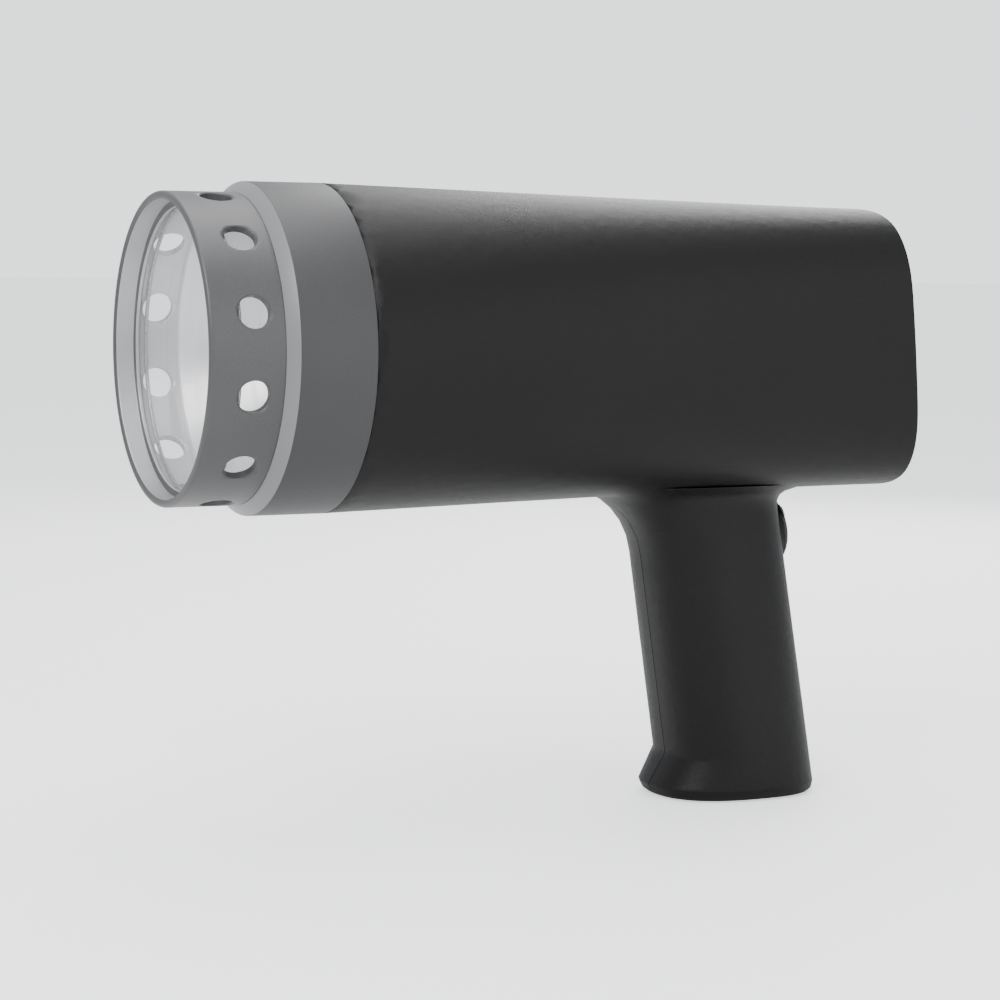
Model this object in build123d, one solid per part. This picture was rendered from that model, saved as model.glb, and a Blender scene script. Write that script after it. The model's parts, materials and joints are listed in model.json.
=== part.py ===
"""Hand-held stroboscopic timing light: vented lamp hood, two-shell body, tilted control panel and pistol grip.

Millimetres, +Z up. The lamp axis runs along Y and the lens faces -Y. The origin is the middle of the
grip's base, on the plane that the base rests on. X = 0 is the plane where the two body shells meet.
"""
from build123d import *
import math
import os

os.makedirs("parts", exist_ok=True)

# ---------------------------------------------------------------- overall sizes
AXIS_HEIGHT = 147.0          # lamp axis above the grip's base
RIM_SETBACK = 200.0          # hood's front rim, forward of the grip's base centre
LENGTH = 235.0               # front rim to control panel, along the lamp axis
PANEL_TILT = 4.5             # panel leans back this many degrees to face the user

# ---------------------------------------------------------------- hood and band
HOOD_RADIUS = 46.7
HOOD_WALL = 2.4
HOOD_LENGTH = 22.6           # visible part, rim to the band's chamfer
HOOD_SPIGOT = 12.0           # part of the hood that plugs into the band
LIP_ROUND = 1.0
VENT_COUNT = 12
VENT_RADIUS = 4.8
VENT_SETBACK = 13.6          # vent centres behind the rim
BAND_RADIUS = 50.0
BAND_CHAMFER = 3.3           # axial length of the band's chamfer
BAND_END = 49.5              # band's rear edge behind the rim
BAND_SPIGOT = 10.0           # length of the shells' spigot inside the band

# ---------------------------------------------------------------- lens, reflector and lamp
LENS_SETBACK = 7.4           # front face of the lens behind the rim
LENS_THICKNESS = 2.0
LENS_RIB = 1.2               # axial thickness of the rib in front of the lens
LENS_RIB_DEPTH = 2.0         # how far the rib stands in from the hood's bore
RING_WIRE = 1.2              # section of the snap ring behind the lens
REFLECTOR_SETBACK = 20.0
REFLECTOR_DEPTH = 40.0
REFLECTOR_WALL = 1.0
REFLECTOR_NECK = 13.0        # radius of the opening at the reflector's back
REFLECTOR_SKIRT = 10.0
TUBE_RADIUS = 2.4            # flash tube's glass
TUBE_BEND = 6.5              # radius of its U bend
TUBE_REACH = 24.0            # straight length of each leg in front of the base
LAMP_BASE_RADIUS = 12.0
LAMP_BASE_LENGTH = 9.0
BULKHEAD_THICKNESS = 2.5
COIL_RADIUS = 7.0
COIL_LENGTH = 18.0

# ---------------------------------------------------------------- body shells
WALL = 2.5
SEAM_GAP = 0.15              # each shell stops this far short of the centre plane
HEAD_HALF_WIDTH = 48.0       # at the panel
HEAD_HALF_HEIGHT = 45.2      # at the panel
HEAD_SQUARENESS = 4.0        # superellipse power of the head at the panel
PANEL_RECESS = 0.7           # panel face below the shells' rim
PANEL_THICKNESS = 2.0
LEDGE_WIDTH = 2.6
LEDGE_THICKNESS = 1.8

# ---------------------------------------------------------------- grip
GRIP_RAKE = 9.2              # degrees, the base lies behind the top
GRIP_DEPTH = 50.0            # front to back
GRIP_WIDTH = 46.0
GRIP_NARROWING = 1.5         # the grip is this much slimmer at its top, each way
GRIP_SQUARENESS = 2.5
FRONT_FILLET = 21.0
REAR_FILLET = 5.0
SIDE_FILLET = 8.0
TOE_REACH = 7.5              # the lip at the foot of the grip, ahead of the grip
TOE_HEIGHT = 14.0            # top of the lip
TOE_NOSE = 4.0               # height where the lip reaches furthest
BASE_ROUND = 3.5

# ---------------------------------------------------------------- screws
SCREW_RADIUS = 1.5
SCREW_HEAD_RADIUS = 2.8
SCREW_HEAD_LENGTH = 2.2
SCREW_RECESS = 4.0           # length of the pocket outside a screw head
BOSS_RADIUS = 4.2
SCREW_LENGTH = 16.0

# ---------------------------------------------------------------- switch
SWITCH_HEIGHT = 87.0         # centre of the switch above the base
SWITCH_BEZEL_RADIUS = 11.5
SWITCH_BEZEL_HEIGHT = 2.0
SWITCH_BARREL_RADIUS = 9.9
SWITCH_BARREL_LENGTH = 15.0
ROCKER_RADIUS = 8.6
ROCKER_THROW = 20.0          # degrees from off to on
ROCKER_WIDTH_GAP = 0.25
PIVOT_DEPTH = 3.5            # pivot below the bezel's outer face
BEZEL_SEAT = -0.4            # bezel's underside, square to the grip's back from its surface
TRUNNION_RADIUS = 1.2        # the rocker's pivot pins
TRUNNION_DEPTH = 0.8         # how far each pin enters the barrel's wall

# ---------------------------------------------------------------- panel items, (x, height) from the axis
DISPLAY_CENTRE = (0.0, 12.2)
DISPLAY_WIDTH = 60.0
DISPLAY_HEIGHT = 28.3
DISPLAY_BORDER = 1.5
WINDOW_THICKNESS = 1.2
GLASS_THICKNESS = 2.8
KEY_COLUMNS = (27.5, 13.7)
KEY_ROWS = (-18.0, -30.9)
KEY_WIDTH = 9.2
KEY_HEIGHT = 8.0
KEY_ROUND = 1.8
KEY_GAP = 0.25
KEY_PROUD = 1.3
KEY_TRAVEL = 0.8
KEY_FLANGE = 0.9
KNOB_CENTRES = ((-3.6, -21.0), (-28.0, -20.8))
KNOB_RADIUS = 8.9
KNOB_HEIGHT = 11.5
KNOB_CLEARANCE = 0.5
KNOB_CAVITY = 3.2            # height of the hollow under the knob
SHAFT_RADIUS = 3.0
BUSHING_RADIUS = 3.5
SHAFT_CLEARANCE = 0.05
POT_RADIUS = 8.2
POT_DEPTH = 7.5
NUT_FLATS = 10.0
NUT_THICKNESS = 1.8
JACK_CENTRE = (-15.8, -30.7)
JACK_BORE = 1.75
JACK_BARREL = 2.8
JACK_BODY = 9.0
JACK_DEPTH = 11.0

# ---------------------------------------------------------------- boards and battery
BOARD_THICKNESS = 1.6
CONTROL_BOARD_DEPTH = 8.6    # front face of the control board behind the panel's face
CONTROL_BOARD_INSET = 5.5
POWER_BOARD_DROP = 24.0      # board's underside below the lamp axis
POWER_BOARD_START = 80.0
POWER_BOARD_LENGTH = 92.0
POWER_BOARD_WIDTH = 66.0
POST_RADIUS = 3.2
BOARD_SCREW_RADIUS = 1.2
CAPACITOR_RADIUS = 15.0
CAPACITOR_LENGTH = 46.0
TRANSFORMER = (30.0, 26.0, 22.0)
CELL_RADIUS = 7.1
CELL_LENGTH = 50.0
CELL_LIFT = 12.6             # underside of the pack above the base
HOLDER_CORNER = 3.4
CHARGE_JACK_Y = 11.0
CHARGE_JACK_RADIUS = 4.0
CHARGE_JACK_LENGTH = 10.0

CIRCLE_POWER = 2.0
OUTLINE_POINTS = 28
OVERLAP = 0.5                # extra length on a cutting solid

# ---------------------------------------------------------------- derived places
RIM_Y = -RIM_SETBACK
BAND_END_Y = RIM_Y + BAND_END
PANEL_Y = RIM_Y + LENGTH
HOOD_BORE = HOOD_RADIUS - HOOD_WALL
LAMP_AXIS = Axis((0, 0, AXIS_HEIGHT), (0, 1, 0))
PANEL = Location((0, PANEL_Y, AXIS_HEIGHT), (PANEL_TILT, 0, 0))
PANEL_FACE = -PANEL_RECESS
PANEL_BACK = PANEL_FACE - PANEL_THICKNESS
RAKE_SLOPE = math.tan(math.radians(GRIP_RAKE))
HEAD_UNDERSIDE = AXIS_HEIGHT - HEAD_HALF_HEIGHT - 1.3


def save(node, shape):
    """Write one node as parts/NODE.step."""
    export_step(shape, f"parts/{node}.step")


def y_at(setback):
    """Place along the lamp axis of a point this far behind the front rim."""
    return RIM_Y + setback


def turned(profile):
    """Solid of revolution about the lamp axis; profile is (setback, radius) pairs."""
    points = [(0, y_at(s), AXIS_HEIGHT + r) for s, r in profile]
    return revolve(make_face(Polyline(*points, close=True)), LAMP_AXIS, 360)


def turned_on_panel(profile, centre):
    """Solid of revolution about a line square to the panel; profile is (height above rim, radius) pairs."""
    points = [(0, y, r) for y, r in profile]
    solid = revolve(make_face(Polyline(*points, close=True)), Axis.Y, 360)
    return PANEL * (Location((centre[0], 0, centre[1])) * solid)


def panel_block(centre, width, height, back, front, corner=0.0):
    """Block with rounded corners, its depth square to the panel, from back to front."""
    sketch = RectangleRounded(width, height, corner) if corner else Rectangle(width, height)
    plane = Plane(origin=(centre[0], front, centre[1]), x_dir=(-1, 0, 0), z_dir=(0, 1, 0))
    return PANEL * extrude(plane * sketch, amount=back - front)


def across(y, z, radius, x_from, x_to):
    """Cylinder that lies along X."""
    length = abs(x_to - x_from)
    middle = (x_from + x_to) / 2
    return Pos(middle, y, z) * (Rot(0, 90, 0) * Cylinder(radius, length))


# ================================================================ body shells
def superellipse_radius(angle, half_width, half_height, power):
    """Distance from the middle to a superellipse's edge, in the direction of angle."""
    across_part = abs(math.cos(angle) / half_width) ** power
    upright_part = abs(math.sin(angle) / half_height) ** power
    return (across_part + upright_part) ** (-1 / power)


def head_section(y, inset):
    """Head's outline at y: a circle at the band that grows square towards the panel."""
    share = (y - BAND_END_Y) / (PANEL_Y - BAND_END_Y)
    points = []
    for step in range(OUTLINE_POINTS):
        angle = 2 * math.pi * (step + 0.5) / OUTLINE_POINTS
        square = superellipse_radius(angle, HEAD_HALF_WIDTH - inset, HEAD_HALF_HEIGHT - inset, HEAD_SQUARENESS)
        radius = (1 - share) * (BAND_RADIUS - inset) + share * square
        points.append((radius * math.cos(angle), y, AXIS_HEIGHT + radius * math.sin(angle)))
    return Wire(Spline(*points, periodic=True))


def head_solid(inset, extra_front=0.0):
    """Head as a solid, its skin moved in by inset, from the band to past the panel."""
    start = BAND_END_Y - extra_front
    end = PANEL_Y + 10.0
    return Solid.make_loft([head_section(start, inset), head_section(end, inset)], ruled=True)


def fillet_growth(height, radius, top, steepest):
    """How far a concave fillet under the head has grown out at this height.

    The fillet leaves the grip upright and turns through steepest degrees by the height top.
    """
    turn = math.radians(steepest)
    start = top - radius * math.sin(turn)
    if height <= start:
        return 0.0
    if height <= top:
        return radius - math.sqrt(radius ** 2 - (height - start) ** 2)
    return radius * (1 - math.cos(turn)) + (height - top) * math.tan(turn)


def toe_growth(height):
    """How far the lip at the foot stands out ahead of the grip's front at this height."""
    share = (TOE_HEIGHT - height) / (TOE_HEIGHT - TOE_NOSE)
    return TOE_REACH * min(1.0, max(0.0, share))


def base_round(height):
    """How far the rounded foot is drawn in at this height."""
    if height >= BASE_ROUND:
        return 0.0
    return BASE_ROUND - math.sqrt(BASE_ROUND ** 2 - (BASE_ROUND - height) ** 2)


def grip_section(height, inset):
    """Grip's outline at a height: half superellipses of unlike depth in front and behind."""
    taper = GRIP_NARROWING * height / HEAD_UNDERSIDE
    drawn_in = inset + base_round(height)
    half_depth = (GRIP_DEPTH - taper) / 2 - drawn_in
    half_width = (GRIP_WIDTH - taper) / 2 - drawn_in
    front = half_depth + fillet_growth(height, FRONT_FILLET + inset, HEAD_UNDERSIDE, 78) + toe_growth(height)
    rear = half_depth + fillet_growth(height, REAR_FILLET + inset, HEAD_UNDERSIDE, 75)
    side = half_width + fillet_growth(height, SIDE_FILLET + inset, HEAD_UNDERSIDE + 1.5, 62)
    middle = -height * RAKE_SLOPE
    points = []
    for step in range(OUTLINE_POINTS):
        angle = 2 * math.pi * (step + 0.5) / OUTLINE_POINTS
        depth = rear if math.sin(angle) > 0 else front
        radius = superellipse_radius(angle, side, depth, GRIP_SQUARENESS)
        points.append((radius * math.cos(angle), middle + radius * math.sin(angle), height))
    return Wire(Spline(*points, periodic=True))


def grip_solid(inset, floor):
    """Grip as a solid from its floor up into the head, its skin moved in by inset."""
    foot_levels = [floor] + [BASE_ROUND * rise for rise in (0.12, 0.4, 1.0) if BASE_ROUND * rise > floor]
    toe_levels = [BASE_ROUND, TOE_NOSE, TOE_HEIGHT]
    stem_levels = [TOE_HEIGHT, HEAD_UNDERSIDE - FRONT_FILLET]
    root_levels = [HEAD_UNDERSIDE - FRONT_FILLET * rise for rise in (1.0, 0.75, 0.5, 0.3, 0.15, 0.06, 0.0)]
    root_levels.append(HEAD_UNDERSIDE + 3.0)
    solid = Solid.make_loft([grip_section(z, inset) for z in root_levels], ruled=True)
    for levels in (foot_levels, toe_levels, stem_levels):
        solid += Solid.make_loft([grip_section(z, inset) for z in levels], ruled=True)
    return solid


def grip_back(height):
    """Y of the grip's rear surface on the centre plane at a height below the fillet."""
    taper = GRIP_NARROWING * height / HEAD_UNDERSIDE
    return -height * RAKE_SLOPE + (GRIP_DEPTH - taper) / 2


SWITCH = Location((0, grip_back(SWITCH_HEIGHT), SWITCH_HEIGHT), (GRIP_RAKE, 0, 0))



def in_grip(z, shift=0.0):
    """Y of the grip's middle at a height, moved back by shift."""
    return -z * RAKE_SLOPE + shift


# Screws enter from the right shell (-X) and bite in bosses of the left shell.
HEAD_SCREW_DROP = 6.5        # screw axis inside the head's top or underside
GRIP_SCREW_BACK = 5.6        # screw axis inside the grip's back
head_half_at = HEAD_HALF_HEIGHT - WALL - HEAD_SCREW_DROP + 2.0
SCREW_PLACES = [
    (y_at(92.0), AXIS_HEIGHT + head_half_at),
    (y_at(200.0), AXIS_HEIGHT + head_half_at),
    (y_at(92.0), AXIS_HEIGHT - head_half_at),
    (grip_back(72.0) - WALL - GRIP_SCREW_BACK, 72.0),
    (grip_back(30.0) - WALL - GRIP_SCREW_BACK, 30.0),
]
HEAD_FACE_X = -(SCREW_LENGTH - SCREW_HEAD_LENGTH) / 2   # underside of each screw head


def switch_seat():
    """Round pad on the grip's back that the switch's bezel lies on."""
    depth = 7.2
    return SWITCH * (Pos(0, BEZEL_SEAT - depth / 2, 0) * (Rot(90, 0, 0) * Cylinder(SWITCH_BEZEL_RADIUS + 0.4, depth)))


def shells():
    """Left and right body shells, with their screw bosses, panel ledge, board posts and openings."""
    outer = head_solid(0) + grip_solid(0, 0) + switch_seat()
    inner = head_solid(WALL) + grip_solid(WALL, WALL)
    skin = outer - inner

    # spigot that the band grips
    spigot_radius = BAND_RADIUS - WALL
    spigot_start = BAND_END - BAND_SPIGOT
    root = BAND_RADIUS - WALL / 2
    skin += turned([(spigot_start, spigot_radius - 0.1), (BAND_END, spigot_radius - 0.1), (BAND_END, root),
                    (BAND_END + 3.0, root), (BAND_END + 3.0, spigot_radius - WALL),
                    (spigot_start, spigot_radius - WALL)])

    # ledge that the panel lies on
    ledge = head_solid(WALL - 1.0) - head_solid(WALL + LEDGE_WIDTH)
    slab_depth = LEDGE_THICKNESS
    slab = panel_block((0, 0), 3 * HEAD_HALF_WIDTH, 3 * HEAD_HALF_HEIGHT, PANEL_BACK - slab_depth, PANEL_BACK)
    skin += ledge & slab

    # solid fill at each screw, cut back to the skin's outline
    half_span = HEAD_HALF_WIDTH
    for y, z in SCREW_PLACES:
        skin += across(y, z, BOSS_RADIUS, -half_span, half_span) & outer

    # posts under the power board
    post_top = AXIS_HEIGHT - POWER_BOARD_DROP
    for x, y in board_post_places():
        post = Pos(x, y, post_top - 15.0) * Cylinder(POST_RADIUS, 30.0)
        skin += post & outer
        skin -= Pos(x, y, post_top - 4.0) * Cylinder(BOARD_SCREW_RADIUS, 8.0 + OVERLAP)

    # everything behind the panel's rim plane is cut off
    skin -= panel_block((0, 0), 4 * HEAD_HALF_WIDTH, 4 * HEAD_HALF_HEIGHT, 0, 20.0)

    # flat for the switch's bezel, switch hole, charging socket hole
    skin -= SWITCH * (Pos(0, BEZEL_SEAT + 5.0, 0) * (Rot(90, 0, 0) * Cylinder(SWITCH_BEZEL_RADIUS + 0.4, 10.0)))
    skin -= SWITCH * (Pos(0, -5.0, 0) * (Rot(90, 0, 0) * Cylinder(SWITCH_BARREL_RADIUS + 0.1, 20.0)))
    skin -= Pos(0, CHARGE_JACK_Y, 0) * Cylinder(CHARGE_JACK_RADIUS + 0.05, 4 * WALL)

    # screw holes: pocket and shank from the right, pilot in the left
    right, left = skin, skin
    for y, z in SCREW_PLACES:
        right -= across(y, z, SCREW_HEAD_RADIUS + 0.2, HEAD_FACE_X, -2 * half_span)
        right -= across(y, z, SCREW_RADIUS + 0.15, HEAD_FACE_X - OVERLAP, 1.0)
        left -= across(y, z, SCREW_RADIUS, -1.0, HEAD_FACE_X + SCREW_LENGTH)
    block = 600.0
    left &= Pos(block / 2 + SEAM_GAP, 0, 0) * Box(block, block, 2 * block)
    right &= Pos(-block / 2 - SEAM_GAP, 0, 0) * Box(block, block, 2 * block)
    return left, right


def board_post_places():
    """Four board posts, two in each shell."""
    side = POWER_BOARD_WIDTH / 2 - 6.0
    first = y_at(POWER_BOARD_START) + 6.0
    last = y_at(POWER_BOARD_START + POWER_BOARD_LENGTH) - 6.0
    return [(x, y) for x in (-side, side) for y in (first, last)]


def housing_screw(y, z):
    """Pan-head screw with a cross recess, its head on the right."""
    shank = across(y, z, SCREW_RADIUS, HEAD_FACE_X, HEAD_FACE_X + SCREW_LENGTH - SCREW_HEAD_LENGTH)
    head = across(y, z, SCREW_HEAD_RADIUS, HEAD_FACE_X - SCREW_HEAD_LENGTH, HEAD_FACE_X)
    outer_face = HEAD_FACE_X - SCREW_HEAD_LENGTH
    slot = Pos(outer_face, y, z) * (Box(2.0, 3.2, 0.7) + Box(2.0, 0.7, 3.2))
    return shank + head - slot


left_shell, right_shell = shells()
save("housing_left", left_shell)
save("housing_right", right_shell)
save("housing_screws", Compound([housing_screw(y, z) for y, z in SCREW_PLACES]))


# ================================================================ hood, band, lens
def vent_hood():
    """Vented ring: rounded lip, lens rib, twelve radial vents and a spigot for the band."""
    rib_back = LENS_SETBACK
    rib_front = rib_back - LENS_RIB
    end = HOOD_LENGTH + HOOD_SPIGOT
    spigot_radius = HOOD_RADIUS - 0.6
    ring = turned([
        (0, HOOD_BORE + LIP_ROUND), (0, HOOD_RADIUS - LIP_ROUND),
        (LIP_ROUND * 0.3, HOOD_RADIUS - LIP_ROUND * 0.3), (LIP_ROUND, HOOD_RADIUS),
        (HOOD_LENGTH, HOOD_RADIUS), (HOOD_LENGTH, spigot_radius), (end, spigot_radius), (end, HOOD_BORE),
        (rib_back, HOOD_BORE), (rib_back, HOOD_BORE - LENS_RIB_DEPTH), (rib_front, HOOD_BORE - LENS_RIB_DEPTH),
        (rib_front, HOOD_BORE), (LIP_ROUND, HOOD_BORE), (LIP_ROUND * 0.3, HOOD_BORE + LIP_ROUND * 0.3),
    ])
    vent_y = y_at(VENT_SETBACK)
    for step in range(VENT_COUNT):
        angle = 360 / VENT_COUNT * (step + 0.5)
        drill = Rot(0, 90, 0) * Cylinder(VENT_RADIUS, 20.0)
        ring -= Pos(0, vent_y, AXIS_HEIGHT) * (Rot(0, angle, 0) * (Pos(HOOD_RADIUS, 0, 0) * drill))
    return ring


def grey_band():
    """Collar with a chamfered front edge; the hood plugs into its front and the shells into its back."""
    hood_fit = HOOD_RADIUS - 0.6 + 0.05
    shell_fit = BAND_RADIUS - WALL - 0.05
    spigot_start = BAND_END - BAND_SPIGOT - 0.3
    return turned([
        (HOOD_LENGTH, HOOD_RADIUS + 0.05), (HOOD_LENGTH + BAND_CHAMFER, BAND_RADIUS),
        (BAND_END - 0.3, BAND_RADIUS), (BAND_END - 0.1, BAND_RADIUS - 0.2), (BAND_END - 0.1, shell_fit),
        (spigot_start, shell_fit), (spigot_start, hood_fit), (HOOD_LENGTH, hood_fit),
    ])


def lens_glass():
    """Flat round lens with eased edges."""
    radius = HOOD_BORE - 0.1
    back = LENS_SETBACK + LENS_THICKNESS
    return turned([(LENS_SETBACK, 0), (LENS_SETBACK, radius - 0.3), (LENS_SETBACK + 0.3, radius),
                   (back - 0.3, radius), (back, radius - 0.3), (back, 0)])


def lens_snap_ring():
    """Round-wire ring, open at the bottom, that springs out against the hood's bore behind the lens."""
    wire_radius = RING_WIRE / 2
    ring = Pos(0, y_at(LENS_SETBACK + LENS_THICKNESS) + wire_radius, AXIS_HEIGHT) * (
        Rot(90, 0, 0) * Torus(HOOD_BORE - wire_radius - 0.02, wire_radius))
    gap = Pos(0, y_at(LENS_SETBACK), AXIS_HEIGHT - HOOD_BORE) * Box(9.0, 20.0, 10.0)
    return ring - gap


save("vent_hood", vent_hood())
save("grey_band", grey_band())
save("lens_glass", lens_glass())
save("lens_snap_ring", lens_snap_ring())


# ================================================================ reflector and lamp
REFLECTOR_END = REFLECTOR_SETBACK + REFLECTOR_DEPTH
BULKHEAD_START = REFLECTOR_END + 1.0


def bowl_radius(setback):
    """Radius of the bowl's inner face at a distance behind the rim."""
    share = (setback - REFLECTOR_SETBACK) / REFLECTOR_DEPTH
    mouth = HOOD_BORE - 2.2
    return math.sqrt(mouth ** 2 - share * (mouth ** 2 - REFLECTOR_NECK ** 2))


def bowl_profile(inset):
    """(setback, radius) points of the reflector's bowl, a parabola between its mouth and its neck."""
    mouth = HOOD_BORE - 2.2 + inset
    neck = REFLECTOR_NECK + inset
    points = []
    for step in range(13):
        radius = mouth + (neck - mouth) * step / 12
        share = (mouth ** 2 - radius ** 2) / (mouth ** 2 - neck ** 2)
        points.append((REFLECTOR_SETBACK + REFLECTOR_DEPTH * share, radius))
    return points


def reflector():
    """Spun bowl with a skirt that fits the hood's bore and a short neck at the back."""
    inner = bowl_profile(0)
    outer = bowl_profile(REFLECTOR_WALL)
    skirt = HOOD_BORE - 0.1
    outer = [(s, r) for s, r in outer if s > REFLECTOR_SETBACK + 2.0]
    lip = [(REFLECTOR_SETBACK, skirt), (REFLECTOR_SETBACK + REFLECTOR_SKIRT, skirt),
           (REFLECTOR_SETBACK + REFLECTOR_SKIRT, skirt - REFLECTOR_WALL),
           (REFLECTOR_SETBACK + 1.2, skirt - REFLECTOR_WALL)]
    return turned(inner + outer[::-1] + lip[::-1])


def lamp_bulkhead():
    """Round plastic wall that carries the lamp's base and backs the reflector's neck."""
    edge = BAND_RADIUS - 2 * WALL - 0.3
    end = BULKHEAD_START + BULKHEAD_THICKNESS
    hole = LAMP_BASE_RADIUS + 0.05
    wall = turned([(BULKHEAD_START, hole), (BULKHEAD_START, edge), (end + 5.0, edge), (end + 5.0, edge - 2.0),
                   (end, edge - 2.0), (end, hole)])
    reach = REFLECTOR_END - 4.0
    inside = bowl_radius(reach) + REFLECTOR_WALL + 0.3
    collar = turned([(reach, inside), (reach, inside + 1.8), (BULKHEAD_START + OVERLAP, inside + 1.8),
                     (BULKHEAD_START + OVERLAP, inside)])
    return wall + collar


def lamp_base():
    """Ceramic base with two leg holes and a flange behind the bulkhead."""
    start = BULKHEAD_START - 2.0
    end = start + LAMP_BASE_LENGTH
    flange = BULKHEAD_START + BULKHEAD_THICKNESS
    base = turned([(start, 0), (start, LAMP_BASE_RADIUS), (flange, LAMP_BASE_RADIUS),
                   (flange, LAMP_BASE_RADIUS + 2.0), (end, LAMP_BASE_RADIUS + 2.0), (end, 0)])
    for side in (-1, 1):
        base -= Pos(side * TUBE_BEND, y_at(start), AXIS_HEIGHT) * (Rot(90, 0, 0) * Cylinder(TUBE_RADIUS + 0.1, 8.0))
    return base


def flash_tube():
    """U-shaped glass tube, its legs standing in the lamp base."""
    foot = y_at(BULKHEAD_START + 1.5)
    top = foot - 3.5 - TUBE_REACH
    path = (Line((-TUBE_BEND, foot, AXIS_HEIGHT), (-TUBE_BEND, top, AXIS_HEIGHT))
            + ThreePointArc((-TUBE_BEND, top, AXIS_HEIGHT), (0, top - TUBE_BEND, AXIS_HEIGHT),
                            (TUBE_BEND, top, AXIS_HEIGHT))
            + Line((TUBE_BEND, top, AXIS_HEIGHT), (TUBE_BEND, foot, AXIS_HEIGHT)))
    section = Plane(origin=(-TUBE_BEND, foot, AXIS_HEIGHT), z_dir=(0, -1, 0)) * Circle(TUBE_RADIUS)
    return sweep(section, path)


def lamp_pins():
    """Two contact pins out of the back of the lamp base."""
    back = y_at(BULKHEAD_START - 2.0 + LAMP_BASE_LENGTH)
    pin = Rot(90, 0, 0) * Cylinder(1.0, 8.0)
    return Compound([Pos(side * TUBE_BEND, back + 4.0, AXIS_HEIGHT) * pin for side in (-1, 1)])


def trigger_coil():
    """Potted trigger coil that stands on the power board, behind the lamp."""
    y = y_at(POWER_BOARD_START) + 16.0
    z = AXIS_HEIGHT - POWER_BOARD_DROP + BOARD_THICKNESS + COIL_LENGTH / 2
    coil = Pos(0, y, z) * Cylinder(COIL_RADIUS, COIL_LENGTH)
    lead = Pos(0, y, z + COIL_LENGTH / 2 + 1.0) * Cylinder(1.5, 2.0 + OVERLAP)
    return coil + lead


save("reflector", reflector())
save("lamp_bulkhead", lamp_bulkhead())
save("lamp_base", lamp_base())
save("flash_tube", flash_tube())
save("lamp_pins", lamp_pins())
save("trigger_coil", trigger_coil())


# ================================================================ power board and what stands on it
BOARD_UNDERSIDE = AXIS_HEIGHT - POWER_BOARD_DROP
BOARD_TOP = BOARD_UNDERSIDE + BOARD_THICKNESS


def power_board():
    """Circuit board on the four posts, holed for its screws."""
    middle = y_at(POWER_BOARD_START) + POWER_BOARD_LENGTH / 2
    board = Pos(0, middle, BOARD_UNDERSIDE + BOARD_THICKNESS / 2) * Box(
        POWER_BOARD_WIDTH, POWER_BOARD_LENGTH, BOARD_THICKNESS)
    for x, y in board_post_places():
        board -= Pos(x, y, BOARD_TOP) * Cylinder(BOARD_SCREW_RADIUS + 0.15, 4 * BOARD_THICKNESS)
    return board


def board_screw(x, y):
    """Small screw down through the board into its post."""
    shank = Pos(x, y, BOARD_TOP - 3.5) * Cylinder(BOARD_SCREW_RADIUS, 7.0)
    return shank + Pos(x, y, BOARD_TOP + 0.9) * Cylinder(2.3, 1.8)


def flash_capacitor():
    """Cylindrical storage capacitor that lies along the board, with two clip feet."""
    y = y_at(POWER_BOARD_START) + 34.0 + CAPACITOR_LENGTH / 2
    z = BOARD_TOP + CAPACITOR_RADIUS
    can = Pos(13.0, y, z) * (Rot(90, 0, 0) * Cylinder(CAPACITOR_RADIUS, CAPACITOR_LENGTH))
    foot = Box(12.0, 8.0, 4.0)
    feet = [Pos(13.0, y + side * CAPACITOR_LENGTH / 3, BOARD_TOP + 2.0) * foot for side in (-1, 1)]
    return can + feet[0] + feet[1]


def transformer():
    """Inverter transformer: ferrite block and wound bobbin."""
    width, length, height = TRANSFORMER
    y = y_at(POWER_BOARD_START) + 36.0 + length / 2
    core = Pos(-17.0, y, BOARD_TOP + height / 2) * Box(width - 4.0, length, height)
    core -= Pos(-17.0, y, BOARD_TOP + height / 2) * Box(width - 12.0, length + 2.0, height - 10.0)
    bobbin = Pos(-17.0, y, BOARD_TOP + height / 2) * Box(width - 13.0, length + 6.0, height - 10.4)
    return core, bobbin


core, winding = transformer()
save("power_board", power_board())
save("power_board_screws", Compound([board_screw(x, y) for x, y in board_post_places()]))
save("flash_capacitor", flash_capacitor())
save("transformer_core", core)
save("transformer_winding", winding)


# ================================================================ control panel
def inner_outline(inset, back, front):
    """Slice of the head's outline, moved in by inset, between two depths square to the panel."""
    slab = panel_block((0, 0), 3 * HEAD_HALF_WIDTH, 3 * HEAD_HALF_HEIGHT, back, front)
    return head_solid(inset) & slab


def panel_hole(centre, radius):
    """Round cutter square to the panel, through everything behind it."""
    return turned_on_panel([(-40.0, 0), (-40.0, radius), (5.0, radius), (5.0, 0)], centre)


def key_places():
    return [(x, z) for z in KEY_ROWS for x in KEY_COLUMNS]


def fascia_plate():
    """Panel plate: display opening with a stepped border, four key holes, two shaft holes, a socket hole."""
    plate = inner_outline(WALL + 0.25, PANEL_BACK, PANEL_FACE)
    plate -= panel_block(DISPLAY_CENTRE, DISPLAY_WIDTH, DISPLAY_HEIGHT, PANEL_BACK - 1.0, 1.0, 1.6)
    for place in key_places():
        plate -= panel_block(place, KEY_WIDTH + 2 * KEY_GAP, KEY_HEIGHT + 2 * KEY_GAP, PANEL_BACK - 1.0, 1.0,
                             KEY_ROUND + KEY_GAP)
    for place in KNOB_CENTRES:
        plate -= panel_hole(place, BUSHING_RADIUS + 0.1)
    plate -= panel_hole(JACK_CENTRE, JACK_BARREL + 0.05)
    return plate


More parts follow.
